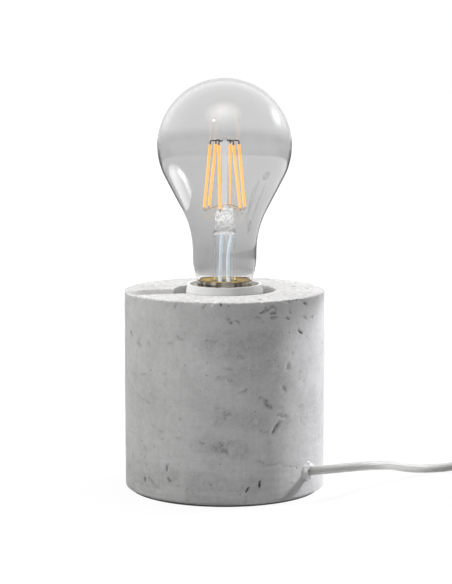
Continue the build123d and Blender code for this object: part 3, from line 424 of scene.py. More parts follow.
# %% Chips along the rim and the mouth of the well
rim_reach, mouth_reach = 1.8, 1.2
rim_gap = np.hypot(np.maximum(base_radius - 0.4 - r_grid, 0.0), np.maximum(top - 0.4 - z_grid, 0.0))
raw = cloud(flat, 3.1, 11) + 0.6 * cloud(flat, 1.2, 12)
rim_fade = np.clip(1.0 - rim_gap / rim_reach, 0.0, 1.0)
chip = np.clip(raw - 0.5, 0.0, 1.0) * rim_fade * 1.6 * cast[:, None]
mouth_gap = np.hypot(np.maximum(r_grid - well_radius - 0.2, 0.0), np.maximum(top - 0.2 - z_grid, 0.0))
mouth_fade = np.clip(1.0 - mouth_gap / mouth_reach, 0.0, 1.0)
chip += np.clip(raw - 0.55, 0.0, 1.0) * mouth_fade * upper[:, None]
print("deepest chip", round(float(chip.max()), 2))

# %% [markdown]
# All the marks move the grid square to the face that they are on. The outward direction of a row
# is the profile's own direction, from the row before to the row after, turned by a right angle.

# %% Move the grid along the profile's outward direction
before, after = np.roll(profile, 1, axis=0), np.roll(profile, -1, axis=0)
along = after - before
length = np.maximum(np.hypot(along[:, 0], along[:, 1]), 1e-9)
out_r, out_z = along[:, 1] / length, -along[:, 0] / length
shift = skin * cast[:, None] * (1.0 + 0.8 * on_top) - pit - chip
r_grid = r_grid + shift * out_r[:, None]
z_grid = z_grid + shift * out_z[:, None]
z_grid = np.where(cast[:, None], np.minimum(z_grid, top + 0.12), z_grid)
print("deepest", round(float(-shift.min()), 2))

# %% [markdown]
# The cord leaves through a bore that slants from the recess to the wall. A block of cells is
# left out of the wall and another out of the recess, and a chain of rings joins the edge of the
# first block to the bore, runs through it and opens out to the edge of the second.

# %% The bore for the cord


def grid_quads(rows, columns, closed=True):
    """Quads of a grid that closes on itself round the axis, and along the profile if closed."""
    i, j = np.meshgrid(np.arange(rows if closed else rows - 1), np.arange(columns), indexing="ij")
    i2, j2 = (i + 1) % rows, (j + 1) % columns
    corners = [i * columns + j, i * columns + j2, i2 * columns + j2, i2 * columns + j]
    return np.stack(corners, axis=-1).reshape(-1, 4)


columns = len(column)
points = around_axis(r_grid, theta, z_grid).reshape(-1, 3)
quads = grid_quads(len(profile), columns)
wall_block, recess_block = (26, 26), (8, 44)
ring_count = 2 * sum(wall_block)

bore_radius = 4.6
bore_point = 1000.0 * np.array(lamp_route[0])
bore_axis = np.array([0.968628, -0.205888, 0.139173])
bore_axis = bore_axis / np.linalg.norm(bore_axis)
sideways = np.cross([0.0, 0.0, 1.0], bore_axis)
sideways = sideways / np.linalg.norm(sideways)
upward = np.cross(bore_axis, sideways)
ring_turn = np.linspace(0.0, 2 * math.pi, ring_count, endpoint=False)
spokes = bore_radius * (np.outer(np.cos(ring_turn), sideways) + np.outer(np.sin(ring_turn), upward))


def bore_ring(cylinder, spread=1.0):
    """Where lines along the bore meet an upright cylinder: the greater root of a t^2 + 2 b t + c.

    The lines stand round the bore's axis, spread bore radii away from it.
    """
    start = bore_point + spread * spokes
    a = bore_axis[0] ** 2 + bore_axis[1] ** 2
    b = start[:, 0] * bore_axis[0] + start[:, 1] * bore_axis[1]
    c = start[:, 0] ** 2 + start[:, 1] ** 2 - cylinder ** 2
    t = (-b + np.sqrt(b * b - a * c)) / a
    return start + t[:, None] * bore_axis


wall_ring, recess_ring = bore_ring(base_radius), bore_ring(recess_radius)
bore_length = float((wall_ring - recess_ring)[0] @ bore_axis)
print("bore ring points", ring_count, "length", round(bore_length, 1))

# %% [markdown]
# A block of cells has as many points round it as the bore's ring, so each point of the edge can be
# joined to one of the ring. The edge is turned until both start at the same side.

# %% Rings that join the bore to the grid


def block_loop(first_row, first_col, rows, cols):
    """Indices round a block of cells, turned and ordered to follow the bore's ring."""
    r0, r1, c0, c1 = first_row, first_row + rows, first_col, first_col + cols
    loop = ([(r0, c) for c in range(c0, c1)] + [(r, c1) for r in range(r0, r1)]
            + [(r1, c) for c in range(c1, c0, -1)] + [(r, c0) for r in range(r1, r0, -1)])
    loop = np.array([r * columns + c for r, c in loop])
    off = points[loop] - bore_point
    turn = np.arctan2(off @ upward, off @ sideways)
    if np.sum(np.sin(np.diff(turn))) < 0.0:
        loop, turn = loop[::-1], turn[::-1]
    shift_by = int(np.argmin(np.abs(np.sin(turn / 2.0))))
    return np.roll(loop, -shift_by)


def between(ring_a, ring_b, shares):
    """Rings between two rings, blended in radius, angle and height so that they keep to the wall."""
    a, b = (np.stack([np.hypot(ring[:, 0], ring[:, 1]), np.arctan2(ring[:, 1], ring[:, 0]), ring[:, 2]])
            for ring in (ring_a, ring_b))
    return [around_axis(*(a + share * (b - a))) for share in shares]


def nearest_block(cylinder, zone_name, rows, cols):
    """First row and column of a block of cells centred on the bore."""
    middle = bore_ring(cylinder).mean(axis=0)
    bearing = (math.atan2(middle[1], middle[0]) - scoop_heading) % (2 * math.pi)
    col = int(np.argmin(np.abs(np.where(in_scoop, 99.0, column) - bearing))) - cols // 2
    in_zone = np.where(zone == zone_name)[0]
    row = in_zone[int(np.argmin(np.abs(row_z[in_zone] - middle[2])))] - rows // 2
    return row, col


taken = np.zeros((len(profile), columns), dtype=bool)
loops = []
bore_ends = ((base_radius, "wall", wall_block), (recess_radius, "recess", recess_block))
for cylinder, zone_name, block in bore_ends:
    first_row, first_col = nearest_block(cylinder, zone_name, *block)
    loops.append(block_loop(first_row, first_col, *block))
    taken[first_row:first_row + block[0], first_col:first_col + block[1]] = True
outer_loop, inner_loop = loops
new_rings = (
    between(points[outer_loop], wall_ring, (0.2, 0.4, 0.6, 0.8, 0.94)) + [wall_ring]
    + [wall_ring + share * (recess_ring - wall_ring) for share in (0.06, 0.5)] + [recess_ring]
    + between(recess_ring, points[inner_loop], (0.4, 0.7))
)
ring_index = len(points) + np.arange(ring_count * len(new_rings)).reshape(-1, ring_count)
chain = [outer_loop, *ring_index, inner_loop]
ring_quads = [np.stack([a, np.roll(a, -1), np.roll(b, -1), b], axis=1)
              for a, b in zip(chain[:-1], chain[1:])]
all_points = np.concatenate([points] + new_rings)
all_quads = np.concatenate([quads[~taken.ravel()]] + ring_quads)
added = np.zeros(ring_index.size)
depth_of_pit = np.concatenate([(pit + chip * 0.7).ravel(), added])
stain_and_painted_shade_of_point = np.concatenate([stain_and_painted_shade.ravel(), added])
print("points", len(all_points), "quads", len(all_quads))

# %% [markdown]
# The points and quads become one mesh. Depth and darkness of the marks travel with it as numbers
# on its points, for the finish to read: the darkness holds stains and painted shade, and the finish
# paints shade into the pits and chips from their depth. Doubled points are joined, so that the skin
# is closed.

# %% Build the concrete piece


def add_mesh(name, points_mm, quads, body):
    """A mesh from points in millimetres and quads, which moves with a body."""
    mesh = bpy.data.meshes.new(name)
    mesh.from_pydata(points_mm * 0.001, [], quads)
    built = bpy.data.objects.new(name, mesh)
    bpy.context.scene.collection.objects.link(built)
    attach(built, body)
    return built


def weld(built, corner_angle):
    """Joins doubled points, drops faces that closed up and keeps edges above the angle sharp."""
    work = bmesh.new()
    work.from_mesh(built.data)
    bmesh.ops.remove_doubles(work, verts=work.verts, dist=2e-6)
    bmesh.ops.dissolve_degenerate(work, edges=work.edges, dist=1e-7)
    bare = [edge for edge in work.edges if not edge.link_faces]
    bmesh.ops.delete(work, geom=bare, context="EDGES")
    work.to_mesh(built.data)
    work.free()
    built.data.polygons.foreach_set("use_smooth", np.ones(len(built.data.polygons), dtype=bool))
    built.data.set_sharp_from_angle(angle=math.radians(corner_angle))


concrete = add_mesh("cast_concrete", all_points, all_quads, "lamp")
for name, values in (("pit", depth_of_pit), ("stain_and_painted_shade", stain_and_painted_shade_of_point)):
    mark = concrete.data.attributes.new(name, "FLOAT", "POINT")
    mark.data.foreach_set("value", values.astype(np.float32))
weld(concrete, 50.0)
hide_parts("concrete_base")
print("concrete faces", len(concrete.data.polygons))

# %% [markdown]
# The gap between the cord and its tube is stopped with pale filler, pressed in by hand. It bulges
# a little from the wall, is lumpy, and its edge wanders over the end of the tube. The piece is a
# ring round the cord: rows from the cord outwards on the face, and back again inside the wall.

# %% Filler round the cord
face_spread = np.linspace(2.15, 6.6, 18) / bore_radius
back_spread = np.linspace(3.4, 2.15, 4) / bore_radius
edge_spread = 1.12 + 0.26 * cloud(spokes, 2.4, 51)
filler_rows = []
for spread in face_spread:
    lumps = 0.22 * cloud(bore_ring(base_radius, spread), 1.1, 52)
    bulge = 1.1 * (1.0 - (spread / edge_spread) ** 4)
    filler_rows.append(bore_ring(base_radius + np.maximum(bulge + lumps, -0.9), spread))
filler_rows += [bore_ring(base_radius - 1.2, spread) for spread in back_spread]
filler_quads = grid_quads(len(filler_rows), len(spokes))
filler = add_mesh("cord_filler", np.concatenate(filler_rows), filler_quads, "lamp")
weld(filler, 60.0)
print("filler faces", len(filler.data.polygons))

# %% [markdown]
# ## Bulb
#
# The bulb is blown glass, so its wall is one smooth skin: a globe, a straight shoulder, a throat
# that curves the other way, a short neck and a foot drawn in to the cap. Each part meets the
# next without a corner. The outline is worked out from arcs and turned about the axis.

# %% Smoky glass


def full_turn(count):
    """Angles of count columns once round the axis."""
    return np.linspace(0.0, 2 * math.pi, count, endpoint=False)


def glass_line(inset):
    """Half outline of the bulb from its foot to its top, moved in by inset: arcs and straight runs."""
    globe, centre, lean, throat, neck = 33.4, 171.7, math.radians(27.7), 44.5, 15.95
    taper_radius, taper_top, glass_foot = 36.0, 117.4, 104.95
    shoulder_r, shoulder_z = globe * math.cos(lean), centre - globe * math.sin(lean)
    throat_r = neck + throat * (1.0 - math.cos(lean))
    throat_z = shoulder_z - (shoulder_r - throat_r) / math.tan(lean)
    waist_z = throat_z - throat * math.sin(lean)
    drop = np.linspace(taper_top - glass_foot, 0.0, 12, endpoint=False)
    taper_r = neck - taper_radius + np.sqrt((taper_radius - inset) ** 2 - drop ** 2)
    taper = np.stack([taper_r, taper_top - drop], axis=1)
    t = np.linspace(0.0, lean, 20)
    curve_r = neck + throat - (throat + inset) * np.cos(t)
    curve = np.stack([curve_r, waist_z + (throat + inset) * np.sin(t)], axis=1)
    t = np.linspace(-lean, math.pi / 2, 60)
    dome = np.stack([(globe - inset) * np.cos(t), centre + (globe - inset) * np.sin(t)], axis=1)
    return np.concatenate([taper, curve, dome])


glass_wall, glass_columns = 0.8, 144
glass_profile = np.concatenate([glass_line(0.0), glass_line(glass_wall)[::-1]])
glass_grid = around_axis(glass_profile[:, :1], full_turn(glass_columns), glass_profile[:, 1:])
glass_quads = grid_quads(len(glass_profile), glass_columns)
glass = add_mesh("smoky_glass", glass_grid.reshape(-1, 3), glass_quads, "bulb")
weld(glass, 70.0)
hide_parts("bulb_glass")
print("glass faces", len(glass.data.polygons))

# %% [markdown]
# The cap is pressed from thin nickel-plated sheet and its round thread is rolled in, so the sheet
# waves in and out by the same amount on both sides. One turn rises 3.629 mm, the lift of the
# bulb as it is unscrewed.

# %% Rolled screw cap
pitch, crest, sheet, cap_columns = 3.629, 0.45, 0.4, 120
level_of_row = np.concatenate([
    np.linspace(81.9, 84.6, 8, endpoint=False),
    np.linspace(84.6, 99.8, 64, endpoint=False),
    np.linspace(99.8, 104.9, 18),
])
plain = np.interp(level_of_row, [81.9, 82.3, 84.4, 99.4, 100.4, 102.9, 103.2, 104.9],
                  [10.2, 10.6, 12.6, 12.6, 13.5, 13.5, 13.75, 13.75])
fade = np.interp(level_of_row, [84.2, 85.8, 98.2, 99.8], [0.0, 1.0, 1.0, 0.0])
cap_turn = full_turn(cap_columns)
wave = crest * fade[:, None] * np.cos(2 * math.pi * level_of_row[:, None] / pitch - cap_turn)
outer_r = plain[:, None] + wave
sheet_r = np.concatenate([outer_r, outer_r[::-1] - sheet])
sheet_z = np.concatenate([level_of_row, level_of_row[::-1]])[:, None]
cap_points = around_axis(sheet_r, cap_turn, sheet_z).reshape(-1, 3)
cap = add_mesh("rolled_cap", cap_points, grid_quads(len(sheet_r), cap_columns), "bulb")
weld(cap, 60.0)
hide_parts("cap_shell")
print("cap faces", len(cap.data.polygons))

# %% [markdown]
# The gold floor under the glass is the cement that holds the bulb in its cap. It is poured, so it
# is lumpy and creeps up at its edge.

# %% Cement floor
cement_reach = np.linspace(6.2, 13.25, 22)[:, None]
cement_low, cement_high = 102.3, 104.5
bed = around_axis(cement_reach, cap_turn, 0.0)
creep = 0.12 * np.clip((cement_reach - 12.0) / 1.25, 0.0, 1.0)
bumps = 0.10 * cloud(bed, 2.2, 21) + 0.05 * cloud(bed, 0.9, 22) + creep
upper_face = around_axis(cement_reach, cap_turn, cement_high + bumps)
lower_face = around_axis(cement_reach, cap_turn, cement_low)
cement_grid = np.concatenate([lower_face, upper_face[::-1]])
cement_quads = grid_quads(len(cement_grid), cap_columns)
cement = add_mesh("cement_floor", cement_grid.reshape(-1, 3), cement_quads, "bulb")
weld(cement, 50.0)
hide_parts("cap_cement")
print("cement faces", len(cement.data.polygons))

# %% [markdown]
# Inside stands the stem: a glass tube whose top was squeezed flat while soft, to seal the wires,
# with a rod drawn up from it. The squeezed part is creased and full of bubbles, so it glitters
# like ice. Each row of the piece is a rounded oblong with its own half width, half depth and
# squareness, from the end of the bore down its wall, out, and up to the bead on the rod.

# %% Pressed glass stem
stem_keys = np.array([
    (128.50, 0.0, 0.0, 1.0), (128.40, 4.2, 4.2, 1.0), (127.80, 4.8, 4.8, 1.0), (102.10, 4.8, 4.8, 1.0),
    (102.10, 5.8, 5.8, 1.0), (128.60, 5.8, 5.8, 1.0), (130.40, 5.5, 4.9, 0.9), (133.40, 4.5, 2.5, 0.65),
    (140.80, 4.3, 2.1, 0.6), (141.50, 3.8, 2.05, 0.7), (142.20, 2.2, 2.0, 1.0), (171.70, 2.0, 2.0, 1.0),
    (172.40, 2.3, 2.3, 1.0), (173.40, 2.5, 2.5, 1.0), (174.80, 2.07, 2.07, 1.0), (175.60, 1.2, 1.2, 1.0),
    (175.90, 0.0, 0.0, 1.0),
])
stem_columns = 72
key_steps = np.hypot(np.diff(stem_keys[:, 0]), np.diff(stem_keys[:, 1]))
key_way = np.concatenate([[0.0], np.cumsum(key_steps)])
stem_way = np.union1d(key_way, np.linspace(0.0, key_way[-1], 330))
stem_z, half_x, half_y, square = (np.interp(stem_way, key_way, key)[:, None] for key in stem_keys.T)
across, deep = np.cos(full_turn(stem_columns)), np.sin(full_turn(stem_columns))
across = np.sign(across) * np.abs(across) ** square
deep = np.sign(deep) * np.abs(deep) ** square
stem_grid = np.stack([half_x * across, half_y * deep, stem_z + 0.0 * across], axis=-1)
crease = 0.45 * cloud(stem_grid, 1.9, 31) + 0.30 * cloud(stem_grid, 0.9, 32)
crease = 1.0 + crease * np.interp(stem_z, [130.0, 132.0, 141.2, 142.4], [0.0, 0.28, 0.28, 0.0])
stem_grid = stem_grid * np.stack([crease, crease, np.ones(crease.shape)], axis=-1)
stem_quads = grid_quads(len(stem_way), stem_columns, closed=False)
stem = add_mesh("pressed_stem", stem_grid.reshape(-1, 3), stem_quads, "bulb")
weld(stem, 60.0)
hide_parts("glass_stem")
print("stem faces", len(stem.data.polygons))

# %% [markdown]
# ## Finishes
#
# Every material is worked out from the object's own coordinates. A small class lets a value be
# written as arithmetic: adding two wires puts down a Math node and returns its output.

# %% Arithmetic on shader sockets


class Wire:
    """An output socket of a node tree. Arithmetic on wires adds Math nodes."""

    def __init__(self, tree, socket=None):
        self.tree = tree
        self.socket = socket

    def node(self, kind, settings=None, inputs=None, out=0):
        """Adds a node: its settings first, then the values or wires of its sockets."""
        made = self.tree.nodes.new(kind)
        for key, value in (settings or {}).items():
            setattr(made, key, value)
        for key, value in (inputs or {}).items():
            if isinstance(value, Wire):
                self.tree.links.new(value.socket, made.inputs[key])
            else:
                made.inputs[key].default_value = value
        return Wire(self.tree, made.outputs[out] if made.outputs else None)

    def math(self, operation, a, b=0.0):
        """A Math node on two values or wires."""
        return self.node("ShaderNodeMath", {"operation": operation}, {0: a, 1: b})

    def __add__(self, other):
        return self.math("ADD", self, other)

    def __radd__(self, other):
        return self.math("ADD", other, self)

    def __sub__(self, other):
        return self.math("SUBTRACT", self, other)

    def __rsub__(self, other):
        return self.math("SUBTRACT", other, self)

    def __mul__(self, other):
        return self.math("MULTIPLY", self, other)

    def __rmul__(self, other):
        return self.math("MULTIPLY", other, self)

    def above(self, edge, softness):
        """0 below the edge, 1 above it, over a soft step."""
        return self.node("ShaderNodeMapRange", {"interpolation_type": "SMOOTHSTEP"},
                         {"Value": self, "From Min": edge - softness, "From Max": edge + softness})


def start(slot, coordinates="Object"):
    """A pen for the slot's material, emptied, and its coordinates."""
    material = bpy.data.materials.get(slot) or bpy.data.materials.new(slot)
    material.use_nodes = True
    material.node_tree.nodes.clear()
    pen = Wire(material.node_tree)
    return pen, pen.node("ShaderNodeTexCoord", out=coordinates)


def parts_of(pen, vector):
    """The x, y and z of a vector as three wires."""
    split = pen.node("ShaderNodeSeparateXYZ", {}, {0: vector}).socket.node
    return [Wire(pen.tree, socket) for socket in split.outputs]


def stretch(pen, place, factors):
    """Coordinates times a factor along each axis: a small factor draws noise out into streaks."""
    return pen.node("ShaderNodeVectorMath", {"operation": "MULTIPLY"}, {0: place, 1: factors})


def noise(pen, place, scale, detail=2.0, roughness=0.5):
    """Cloud noise of the object's coordinates, scale in cells a metre."""
    inputs = {"Vector": place, "Scale": scale, "Detail": detail, "Roughness": roughness}
    return pen.node("ShaderNodeTexNoise", {}, inputs, "Fac")


def tint(pen, share, dark, light):
    """A colour between two colours: dark + share (light - dark)."""
    settings = {"data_type": "RGBA", "clamp_factor": True}
    return pen.node("ShaderNodeMix", settings, {0: share, 6: (*dark, 1.0), 7: (*light, 1.0)}, 2)


def bump(pen, height, distance, strength=1.0):
    """A bump from a height that runs from 0 to 1."""
    return pen.node("ShaderNodeBump", {}, {"Height": height, "Distance": distance, "Strength": strength})


def surface(pen, inputs):
    """Closes the material with one principled surface."""
    shader = pen.node("ShaderNodeBsdfPrincipled", {}, inputs)
    pen.node("ShaderNodeOutputMaterial", {}, {"Surface": shader})


print("materials before the finishes", len(bpy.data.materials))

# %% [markdown]
# Concrete is grey cement with paler lime blooms and darker damp smears, dusted with fine grain.
# Pinholes too small for the grid are dark dots of painted shade, and the pits and chips of the grid
# get painted shade inside. The marks' darkness, stains and painted shade in the strokes, is read
# too. Fine specks break up the darker strokes. Noise stretched sideways stands for the trowel,
# noise stretched upwards for the seams of the mould, and the open top face is grainier than the
# wall.

# %% Concrete
pen, place = start("concrete")
z = parts_of(pen, place)[2]
broad = noise(pen, place, 28.0, 3.0)
smear = noise(pen, place, 95.0, 5.0, 0.6)
fine = noise(pen, place, 420.0, 4.0, 0.6)
grain = noise(pen, place, 1700.0, 2.0)
lying, upright = stretch(pen, place, (1.0, 1.0, 11.0)), stretch(pen, place, (1.0, 1.0, 0.07))
trowel = (noise(pen, lying, 55.0, 3.0, 0.6) - 0.5) * (1.3 - z.above(0.03, 0.02))
mould = (noise(pen, upright, 620.0, 3.0, 0.6) - 0.5) * broad.above(0.5, 0.15)
speck = noise(pen, place, 850.0, 3.0).above(0.48, 0.09)
cells = pen.node("ShaderNodeTexVoronoi", {"feature": "F1"}, {"Vector": place, "Scale": 300.0}, "Distance")
# Pinholes: dots of painted shade, also pressed in by the bump.
pinhole = (1.0 - cells.above(0.13, 0.05)) * noise(pen, place, 160.0, 2.0).above(0.56, 0.05)
pit_shade = pen.node("ShaderNodeAttribute", {"attribute_name": "pit"}, None, "Fac").above(0.5, 0.4)
stain_and_painted_shade = pen.node("ShaderNodeAttribute", {"attribute_name": "stain_and_painted_shade"}, None, "Fac")
face = z.above(0.0993, 0.0005)
smudge = smear.above(0.60, 0.12) * broad.above(0.50, 0.12)
shade = 0.57 + 0.26 * (broad - 0.5) + 0.24 * (smear - 0.5) + 0.16 * (fine - 0.5) + 0.18 * (grain - 0.5)
shade = shade + 0.12 * trowel + 0.09 * mould - 0.08 * smudge - 0.25 * pinhole
shade = shade + face * (0.45 * (fine - 0.5) + 0.45 * (grain - 0.5) - 0.02)
# Painted shade in the pits, chips and strokes darkens the grey here, together with the stains.
shade = shade * (1.0 - 0.35 * pit_shade) * (1.0 - stain_and_painted_shade * (0.45 + 0.75 * speck))
colour = tint(pen, shade, (0.0, 0.0, 0.0), (0.965, 0.962, 0.955))
height = 0.45 * fine + 0.25 * grain + 0.3 * smear + 0.25 * trowel - 0.8 * pinhole
surface(pen, {"Base Color": colour, "Roughness": 0.78 + 0.16 * fine, "Specular IOR Level": 0.35,
              "Normal": bump(pen, height, 0.0004, 0.4)})
print("concrete finish")

# %% [markdown]
# The moulded pieces differ in colour, gloss and grain only, so one function makes them all. The
# cord's sheath is soft and lets light through, which evens out its shading. Felt is made the same
# way, with a deep coarse grain.

# %% Plastics


def plastic(slot, colour, rough, grain=900.0, depth=0.00004, mottle=0.05, coat=0.0, **more):
    """Moulded plastic: a colour that varies a little, and a fine moulded skin."""
    pen, place = start(slot)
    patch, skin = noise(pen, place, 120.0, 2.0), noise(pen, place, grain, 3.0)
    dark = tuple(c * (1.0 - mottle) for c in colour)
    light = tuple(min(c * (1.0 + mottle), 0.95) for c in colour)
    surface(pen, {"Base Color": tint(pen, patch, dark, light), "Roughness": rough + 0.10 * (skin - 0.5),
                  "Coat Weight": coat, "Normal": bump(pen, skin, depth, 0.5), **more})


soft = {"Subsurface Weight": 1.0, "Subsurface Radius": (1.0, 1.0, 1.0), "Subsurface Scale": 0.012}
plastic("cord_sheath", (0.37, 0.37, 0.357), 0.42, **soft)
plastic("holder_plastic", (0.84, 0.84, 0.83), 0.34)
plastic("conduit_plastic", (0.62, 0.62, 0.61), 0.45)
plastic("tie_plastic", (0.62, 0.62, 0.60), 0.40)
plastic("switch_plastic", (0.47, 0.47, 0.45), 0.38)
plastic("rocker_plastic", (0.53, 0.53, 0.51), 0.34)
plastic("plug_plastic", (0.47, 0.47, 0.45), 0.40)
plastic("pin_sleeve", (0.42, 0.42, 0.40), 0.42)
plastic("tie_strap", (0.05, 0.05, 0.055), 0.45)
plastic("core_brown", (0.16, 0.07, 0.03), 0.42)
plastic("core_blue", (0.03, 0.13, 0.45), 0.42)
plastic("insert_ceramic", (0.78, 0.76, 0.71), 0.30)
plastic("board", (0.03, 0.16, 0.07), 0.40)
plastic("cap_glass", (0.015, 0.015, 0.02), 0.12)
plastic("felt", (0.20, 0.195, 0.18), 0.95, grain=2600.0, depth=0.0003, mottle=0.35)
print("plastics")

# %% [markdown]
# Brass contacts, zinc-plated steel and the plug's pins are drawn, turned or pressed. The tool's
# marks show as streaks in the roughness, so the noise is stretched along the working direction.

# %% Metals


def metal(slot, colour, rough, brush=(1.0, 1.0, 1.0), scale=700.0, spread=0.12):
    """Worked metal: roughness and colour vary along the direction it was drawn or turned."""
    pen, place = start(slot)
    lines, patch = noise(pen, stretch(pen, place, brush), scale, 3.0), noise(pen, place, 140.0, 2.0)
    dark = tuple(c * 0.86 for c in colour)
    surface(pen, {"Base Color": tint(pen, patch, dark, colour), "Metallic": 1.0,
                  "Roughness": rough + spread * (lines - 0.5) + 0.06 * (patch - 0.5),
                  "Normal": bump(pen, lines, 0.00002, 0.4)})


metal("contact_brass", (0.80, 0.58, 0.26), 0.30)
metal("switch_brass", (0.80, 0.58, 0.26), 0.30)
metal("zinc_steel", (0.66, 0.67, 0.68), 0.36)
metal("screw_steel", (0.62, 0.62, 0.63), 0.32)
metal("pin_metal", (0.76, 0.74, 0.68), 0.22, (0.1, 1.0, 1.0), 1500.0)
metal("solder", (0.62, 0.62, 0.63), 0.42)
print("metals")

# %% [markdown]
# Three metals of the bulb need more. The cement floor is patchy gold, between metal and glaze. The
# nickel cap has light and dark stripes painted into its colour, a painted reflection of the room.
# The wires inside are pale at the foot and dark where they were welded at the top.

# %% Gold floor, nickel cap and support wires
pen, place = start("cement")
lumps, patch = noise(pen, place, 900.0, 4.0), noise(pen, place, 260.0, 3.0)
gold = tint(pen, patch.above(0.5, 0.22), (0.13, 0.078, 0.001), (0.58, 0.36, 0.003))
surface(pen, {"Base Color": gold, "Metallic": 0.45, "Roughness": 0.30 + 0.3 * lumps,
              "Specular IOR Level": 0.2, "Normal": bump(pen, lumps, 0.0003, 0.6)})

pen, place = start("cap_nickel")
drawn = stretch(pen, place, (1.0, 1.0, 0.08))
# Stretched noise paints light and dark stripes into the colour: a painted reflection of the room.
painted_reflection, lines = noise(pen, drawn, 240.0, 3.0), noise(pen, drawn, 1800.0, 2.0)
nickel = tint(pen, painted_reflection.above(0.5, 0.14), (0.16, 0.14, 0.11), (0.62, 0.58, 0.52))
surface(pen, {"Base Color": nickel, "Metallic": 1.0, "Roughness": 0.16 + 0.14 * lines,
              "Normal": bump(pen, lines, 0.00002, 0.4)})

pen, place = start("support_wire")
z = parts_of(pen, place)[2]
lines = noise(pen, place, 900.0, 2.0)
wire = tint(pen, z.above(0.158, 0.004), (0.90, 0.74, 0.50), (0.10, 0.07, 0.05))
surface(pen, {"Base Color": wire, "Metallic": 0.6, "Roughness": 0.34 + 0.2 * lines,
              "Normal": bump(pen, lines, 0.00002, 0.4)})
print("metals of the bulb")

# %% [markdown]
# The two leads in the stem wear pale woven sleeves. The stem pipes light onto them from all sides,
# and a little glow of their own stands for it.

# %% Lead sleeves
pen, place = start("lead_sleeve")
weave = noise(pen, place, 1500.0, 2.0)
sleeve = tint(pen, weave, (0.60, 0.72, 0.82), (0.80, 0.90, 0.97))
surface(pen, {"Base Color": sleeve, "Roughness": 0.5,
              "Emission Color": sleeve, "Emission Strength": 0.55})
print("lead sleeves")

# %% [markdown]
# The bulb's glass has a thin smoky film. It takes about half the light that goes in at the
# front of the bulb and out at the back. The film stops short of the foot, which is clear. The stem
# is clear glass too, milky where it was pressed. A faint painted glow over the stem, stronger on
# the rod and in the press, with painted glints there, stands for the light that its creases
# gather. The strips are coated with yellow phosphor and carry a painted glow in its colour.

# %% Glass and filaments
pen, place = start("smoked_glass")
cloudy = noise(pen, place, 40.0, 2.0)
z = parts_of(pen, place)[2]
clear_foot = 1.0 - z.above(0.1086, 0.0016)
film = 0.715 + 0.03 * cloudy - 0.03 * (1.0 - z.above(0.118, 0.012)) + 0.28 * clear_foot
film = tint(pen, film, (0.0, 0.0, 0.0), (1.0, 1.0, 1.0))
surface(pen, {"Base Color": film, "Roughness": 0.01 * cloudy, "Transmission Weight": 1.0, "IOR": 1.5})

pen, place = start("stem_glass")
cloudy = noise(pen, place, 90.0, 2.0)
z = parts_of(pen, place)[2]
rod = z.above(0.1422, 0.0006)
press = z.above(0.1300, 0.0008) * (1.0 - rod)
painted_glints = noise(pen, place, 900.0, 2.0).above(0.50, 0.08)
# Painted glow: faint over the whole stem, stronger on the rod, strongest in the press, with painted
# glints.
glow = 0.035 + 0.075 * rod + press * (0.06 + 0.26 * painted_glints)
painted_glow = tint(pen, glow, (0.0, 0.0, 0.0), (1.0, 0.99, 0.97))
surface(pen, {"Base Color": tint(pen, cloudy, (0.93, 0.95, 0.96), (0.97, 0.98, 0.99)),
              "Roughness": 0.02 * cloudy, "Transmission Weight": 1.0, "IOR": 1.15,
              "Coat Weight": 0.4 + 0.6 * cloudy, "Coat Roughness": 0.03,
              "Emission Color": painted_glow, "Emission Strength": 1.0})

pen, place = start("filament")
lumps = noise(pen, place, 1500.0, 3.0)
# The phosphor colour is also used as a painted glow.
phosphor_and_painted_glow = tint(pen, lumps, (1.0, 0.46, 0.11), (1.0, 0.57, 0.18))
surface(pen, {"Base Color": phosphor_and_painted_glow, "Roughness": 0.5 + 0.2 * lumps, "Emission Color": phosphor_and_painted_glow,
              "Emission Strength": 1.05, "Normal": bump(pen, lumps, 0.0002, 0.5)})

for clear in (glass, stem):
    clear.visible_shadow = False
    clear.visible_diffuse = False
print("glass")

# %% [markdown]
# The pieces of the frame carry their finishes already, by the names of their slots. The pieces
# made here get theirs now.

# %% Put the finishes on
dressed = (
    (concrete, "concrete"), (filler, "conduit_plastic"), (glass, "smoked_glass"), (cap, "cap_nickel"),
    (cement, "cement"), (stem, "stem_glass"), (lamp_cord, "cord_sheath"), (coil_cord, "cord_sheath"),
)
for piece, slot in dressed:
    piece.data.materials.append(bpy.data.materials[slot])
print("pieces dressed", len(dressed))

# %% [markdown]
# ## Light and floor
#
# The photo has a white ground, a large soft light overhead, a smaller cool light from the right
# and slightly behind, and a weak fill from the front left.

# %% Lights


def area_light(name, place, target, size, watts, colour, shape):
    """A flat lamp at a place, aimed at a target. Gloss and glass do not show it."""
    lamp = bpy.data.lights.new(name, "AREA")
    lamp.shape = shape
    lamp.size, lamp.size_y = size
    lamp.energy = watts
    lamp.color = colour
    holder = bpy.data.objects.new(name, lamp)
    aim = np.array(target) - np.array(place)
    aim = aim / np.linalg.norm(aim)
    holder.location = place
    holder.rotation_euler = (math.acos(-aim[2]), 0.0, math.atan2(aim[1], aim[0]) - math.pi / 2)
    holder.visible_glossy = False
    holder.visible_transmission = False
    bpy.context.scene.collection.objects.link(holder)


white, cool = (1.0, 1.0, 1.0), (0.965, 0.96, 1.0)
area_light("key", (1.37, 0.64, 0.80), (0.0, 0.0, 0.1), (0.18, 0.18), 40.0, cool, "DISK")
area_light("overhead", (0.0, 0.10, 1.10), (0.0, 0.11, 0.0), (0.70, 0.60), 10.8, white, "RECTANGLE")
area_light("fill", (-0.53, -0.22, 0.50), (0.0, 0.0, 0.1), (0.25, 0.25), 2.6, white, "RECTANGLE")
print("lights", len(bpy.data.lights))

